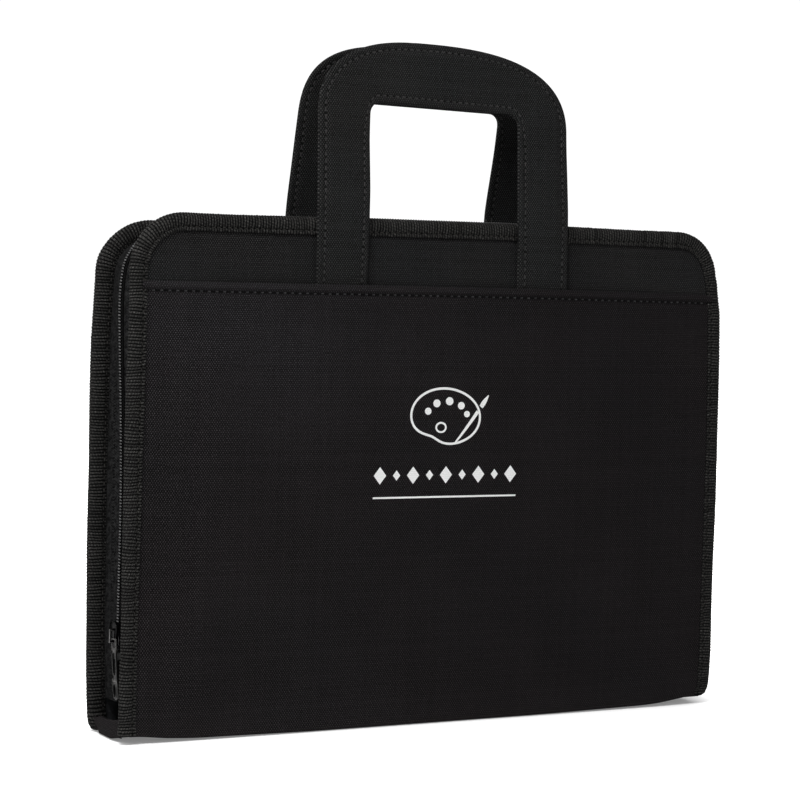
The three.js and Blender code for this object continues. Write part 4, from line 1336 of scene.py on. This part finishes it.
# ---- spine -----------------------------------------------------------------------------------------------------
def spine():
    xs = np.linspace(-180.5, 180.5, 80)
    ys = np.linspace(-19.6, 19.6, 16)
    X, Y = np.meshgrid(xs, ys, indexing="ij")
    rise = sag(X) * (0.675 - 0.325 * Y / 19.6)
    a = np.stack([X, Y, 0.78 + rise], -1) / 1000
    b = np.stack([X, Y, 1.3 + rise * 0.75], -1) / 1000
    under = slab("spine_cloth", b, a, np.stack([X, Y], -1))
    flaps = []
    for sgn in (-1, 1):
        ys = np.linspace(-16.9, 16.9, 24)
        t = np.linspace(0, 1, 12)
        yy, tt = np.meshgrid(ys, t, indexing="ij")
        foot_z = (0.6 if sgn < 0 else 2.1) + 2.0 * ease((-yy - 4) / 13)
        high = 12.6 - 2.6 * (1 - (yy / 17) ** 2) - 4.2 * ease((yy - 5) / 12)
        zz = foot_z + (1 - (1 - tt) ** 1.6) * (high - foot_z)
        puff = 1.0 * np.cos(yy / 17 * PI / 2) * np.sin(np.clip(tt, 0, 1) * PI * 0.8)
        corner_in = (0.2 + 2.4 * ease((yy - 9) / 8) + 1.0 * ease((-yy - 6) / 10)) * (1 - tt) ** 4
        x1 = 180.9 + puff * 0.6 - corner_in + 0.25 * np.sin(yy / 3.1) * tt
        o = np.stack([sgn * x1, yy, zz], -1) / 1000
        i = np.stack([sgn * (x1 - 0.75), yy, np.minimum(zz, zz)], -1) / 1000
        flaps.append(slab(f"flap{sgn}", o, i, np.stack([yy + 7, zz * 1.1 + 500], -1)))
    ob = join([under, *flaps], "spine_cloth")
    dress(ob, "canvas")
    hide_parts("spine_canvas")
    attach(ob, "spine")

    X, Y = np.meshgrid(np.linspace(-178.5, 178.5, 70), np.linspace(-20.6, 20.6, 18), indexing="ij")
    lift = 0.78 * sag(X) * (0.675 - 0.325 * Y / 20.6)
    z = 3.0 + lift + 0.12 * np.sin(X / 31 + 1) * np.sin(Y / 8) + 0.2 * (Y / 20.6) ** 4
    a = np.stack([X, Y, z], -1) / 1000
    b = np.stack([X, Y, z - 0.38], -1) / 1000
    ob = slab("spine_inner_lining", a, b, np.stack([X, Y], -1))
    dress(ob, "lining")
    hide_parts("spine_lining")
    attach(ob, "spine")

    # the board has taken the same set as the cloth under it
    X, Y = np.meshgrid(np.linspace(-176, 176, 60), np.linspace(-18.6, 18.6, 10), indexing="ij")
    lift = 0.78 * sag(X) * (0.675 - 0.325 * Y / 20.6)
    a = np.stack([X, Y, 2.45 + lift], -1) / 1000
    b = np.stack([X, Y, 1.4 + lift], -1) / 1000
    ob = slab("spine_stiff_board", a, b, np.stack([X, Y], -1))
    dress(ob, "board")
    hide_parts("spine_board")
    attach(ob, "spine")


# ---- print on the front pocket ---------------------------------------------------------------------------------
def printed():
    """A plain painter's palette over a row of small lozenges and a thin rule."""

    def lay(x, z, h):
        return place("front", x, pocket_out(x, z) + handle_push(x, z, "front") + h, z)

    bodies = []

    def solid(loops):
        coords = [[Vector((x, z, 0)) for x, z in lp] for lp in loops]
        tris = tessellate_polygon(coords)
        flat = np.array([(v.x, v.y) for lp in coords for v in lp])
        top = lay(flat[:, 0], flat[:, 1], 0.13)
        bot = lay(flat[:, 0], flat[:, 1], -0.12)
        n = len(flat)
        faces = [list(t) for t in tris] + [[i + n for i in t[::-1]] for t in tris]
        o = 0
        for lp in loops:
            m = len(lp)
            for i in range(m):
                j = (i + 1) % m
                faces.append([o + i, o + j, o + j + n, o + i + n])
            o += m
        uv = np.concatenate([flat, flat])
        bodies.append(make(f"pr{len(bodies)}", np.concatenate([top, bot]), faces, uv, None, 40))

    def ring(points, w):
        """A closed line of width w."""
        p = np.asarray(points)
        t = np.roll(p, -1, 0) - np.roll(p, 1, 0)
        t /= np.linalg.norm(t, axis=1, keepdims=True)
        nrm = np.stack([-t[:, 1], t[:, 0]], -1)
        solid([[tuple(v) for v in p + nrm * w / 2], [tuple(v) for v in p - nrm * w / 2]])

    def stroke(points, widths):
        p = np.asarray(points)
        t = np.gradient(p, axis=0)
        t /= np.linalg.norm(t, axis=1, keepdims=True)
        nrm = np.stack([-t[:, 1], t[:, 0]], -1)
        w = np.asarray(widths)[:, None] / 2
        solid([[tuple(v) for v in np.concatenate([p + nrm * w, (p - nrm * w)[::-1]])]])

    cx, cz = 2.6, 165.8
    th = np.linspace(0, 2 * PI, 73)[:-1]
    r = 1 + 0.05 * np.cos(2 * th + 0.5) - 0.16 * np.exp(-(((th - 4.1) / 0.42) ** 2)) + 0.05 * np.cos(th - 2.4)
    ring(np.stack([cx + 20.5 * r * np.cos(th), cz + 15.6 * r * np.sin(th)], -1), 1.25)
    for a, q in ((2.75, 2.0), (2.1, 2.2), (1.45, 2.3), (0.8, 2.1), (0.2, 1.8)):
        solid([oval(cx + 12.7 * math.cos(a), cz + 8.7 * math.sin(a), q, q * 0.95, 22)])
    ring(np.array(oval(cx - 3.6, cz - 5.4, 3.0, 2.5, 26)), 1.0)
    # brush across the palette
    t = np.linspace(0, 1, 14)
    line = np.stack([cx + 5.5 + 20 * t, cz - 13.5 + 25 * t * (0.88 + 0.12 * t)], -1)
    stroke(line[:10], np.interp(t[:10], [0, 0.3, 0.62], [0.9, 1.5, 1.9]))
    stroke(line[10:] + np.array([0.4, 0.35]), np.array([2.4, 2.7, 1.9, 0.5]))
    # row of lozenges
    for i in range(9):
        x0 = -38.0 + i * (81.2 / 8)
        k = 4.6 if i % 2 == 0 else 2.7
        solid([[(x0 - k * 0.82, 135.0), (x0, 135.0 - k), (x0 + k * 0.82, 135.0), (x0, 135.0 + k)]])
    for zz, w in ((123.2, 0.95),):
        xs = np.linspace(-42, 47, 30)
        stroke(np.stack([xs, np.full_like(xs, zz)], -1), np.full(30, w))
    ob = join(bodies, "front_print")
    dress(ob, "ink")
    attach(ob, "front_cover")


for side in ("front", "back"):
    covers(side)
    binding(side)
    handle(side)
    zip_half(side)
slider()
spine()
printed()

# ---- CAD nodes that stay ---------------------------------------------------------------------------------------
for name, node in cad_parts.items():
    if node.hide_render:
        continue
    if "board" in name:
        dress(node, "board")
    elif "zip_stop" in name:
        dress(node, "stop")
        b = node.modifiers.new("round", "BEVEL")
        b.width, b.segments = 0.0003, 2
    else:
        dress(node, "canvas")

# ---- floor, light, camera --------------------------------------------------------------------------------------
bpy.ops.mesh.primitive_plane_add(size=12, location=(0, 0, -0.0002))
floor = bpy.context.active_object
floor.name = "floor"
fm, nt, bsdf = material("floor_paper")
fn = Net(nt)
tone = fn.noise(fn.object(), 0.7, 2.0, 0.5)
fn.put(bsdf.inputs["Base Color"], fn.mix(tone, (0.86, 0.86, 0.86), (0.88, 0.88, 0.88)))
bsdf.inputs["Roughness"].default_value = 0.9
bsdf.inputs["Specular IOR Level"].default_value = 0.1
bsdf.inputs["Emission Color"].default_value = (1, 1, 1, 1)
lp = fn.node("ShaderNodeLightPath")
# painted shadow: ambient occlusion cuts the floor's glow to the camera near the case, for its contact shadow
near = fn.node("ShaderNodeAmbientOcclusion", samples=8)
near.inputs["Distance"].default_value = 0.04
glow_with_painted_shadow = fn.math("ADD", fn.remap(near.outputs["AO"], 0.4, 0.68, 0.2, 0.45), fn.remap(near.outputs["AO"], 0.68, 0.97, 0.0, 0.7))
fn.put(bsdf.inputs["Emission Strength"], fn.math("MULTIPLY", lp.outputs["Is Camera Ray"], glow_with_painted_shadow))
floor.data.materials.append(fm)

world = bpy.data.worlds.new("studio")
bpy.context.scene.world = world
world.use_nodes = True
wt = world.node_tree
wt.nodes.clear()
wo = wt.nodes.new("ShaderNodeOutputWorld")
mixer = wt.nodes.new("ShaderNodeMixShader")
path = wt.nodes.new("ShaderNodeLightPath")
seen = wt.nodes.new("ShaderNodeBackground")
seen.inputs["Color"].default_value = (1, 1, 1, 1)
seen.inputs["Strength"].default_value = 1.05
lit = wt.nodes.new("ShaderNodeBackground")
lit.inputs["Color"].default_value = (1, 1, 1, 1)
lit.inputs["Strength"].default_value = 0.26
wt.links.new(path.outputs["Is Camera Ray"], mixer.inputs[0])
wt.links.new(lit.outputs[0], mixer.inputs[1])
wt.links.new(seen.outputs[0], mixer.inputs[2])
wt.links.new(mixer.outputs[0], wo.inputs[0])


def area(name, loc, target, size, power, colour=(1, 1, 1)):
    light = bpy.data.lights.new(name, "AREA")
    light.shape = "RECTANGLE"
    light.size, light.size_y = size
    light.energy = power
    light.color = colour
    ob = bpy.data.objects.new(name, light)
    bpy.context.scene.collection.objects.link(ob)
    ob.location = loc
    ob.rotation_mode = "QUATERNION"
    ob.rotation_quaternion = (Vector(target) - Vector(loc)).to_track_quat("-Z", "Y")
    return ob


area("key", (-0.62, -0.50, 1.05), (0, 0, 0.16), (0.5, 0.5), 13.9)
area("side", (-1.5, 0.1, 0.9), (-0.15, 0, 0.14), (0.7, 0.9), 6)
area("fill", (0.9, -2.0, 0.7), (0, 0, 0.16), (1.2, 1.2), 5)
area("behind", (0.6, 1.6, 0.55), (0, 0, 0.15), (1.2, 1.0), 16)

cam_data = bpy.data.cameras.new("camera")
cam = bpy.data.objects.new("camera", cam_data)
bpy.context.scene.collection.objects.link(cam)
bpy.context.scene.camera = cam
cam_data.sensor_width = 36.0
cam_data.lens = 110.25
cam_data.clip_start, cam_data.clip_end = 0.05, 50
a, e, r = math.radians(-29.18), math.radians(3.3), math.radians(1.86)
back_dir = Vector((math.sin(a) * math.cos(e), -math.cos(a) * math.cos(e), math.sin(e)))
right = Vector((math.cos(a), math.sin(a), 0))
upv = right.cross(-back_dir)
R = right * math.cos(r) + upv * math.sin(r)
U = -right * math.sin(r) + upv * math.cos(r)
rot = Matrix((R, U, back_dir)).transposed().to_4x4()
cam.matrix_world = Matrix.Translation((-0.6633, -1.1633, 0.2514)) @ rot

bpy.context.scene.view_settings.view_transform = "Standard"
bpy.context.scene.view_settings.look = "None"
bpy.context.scene.view_settings.exposure = 0.0
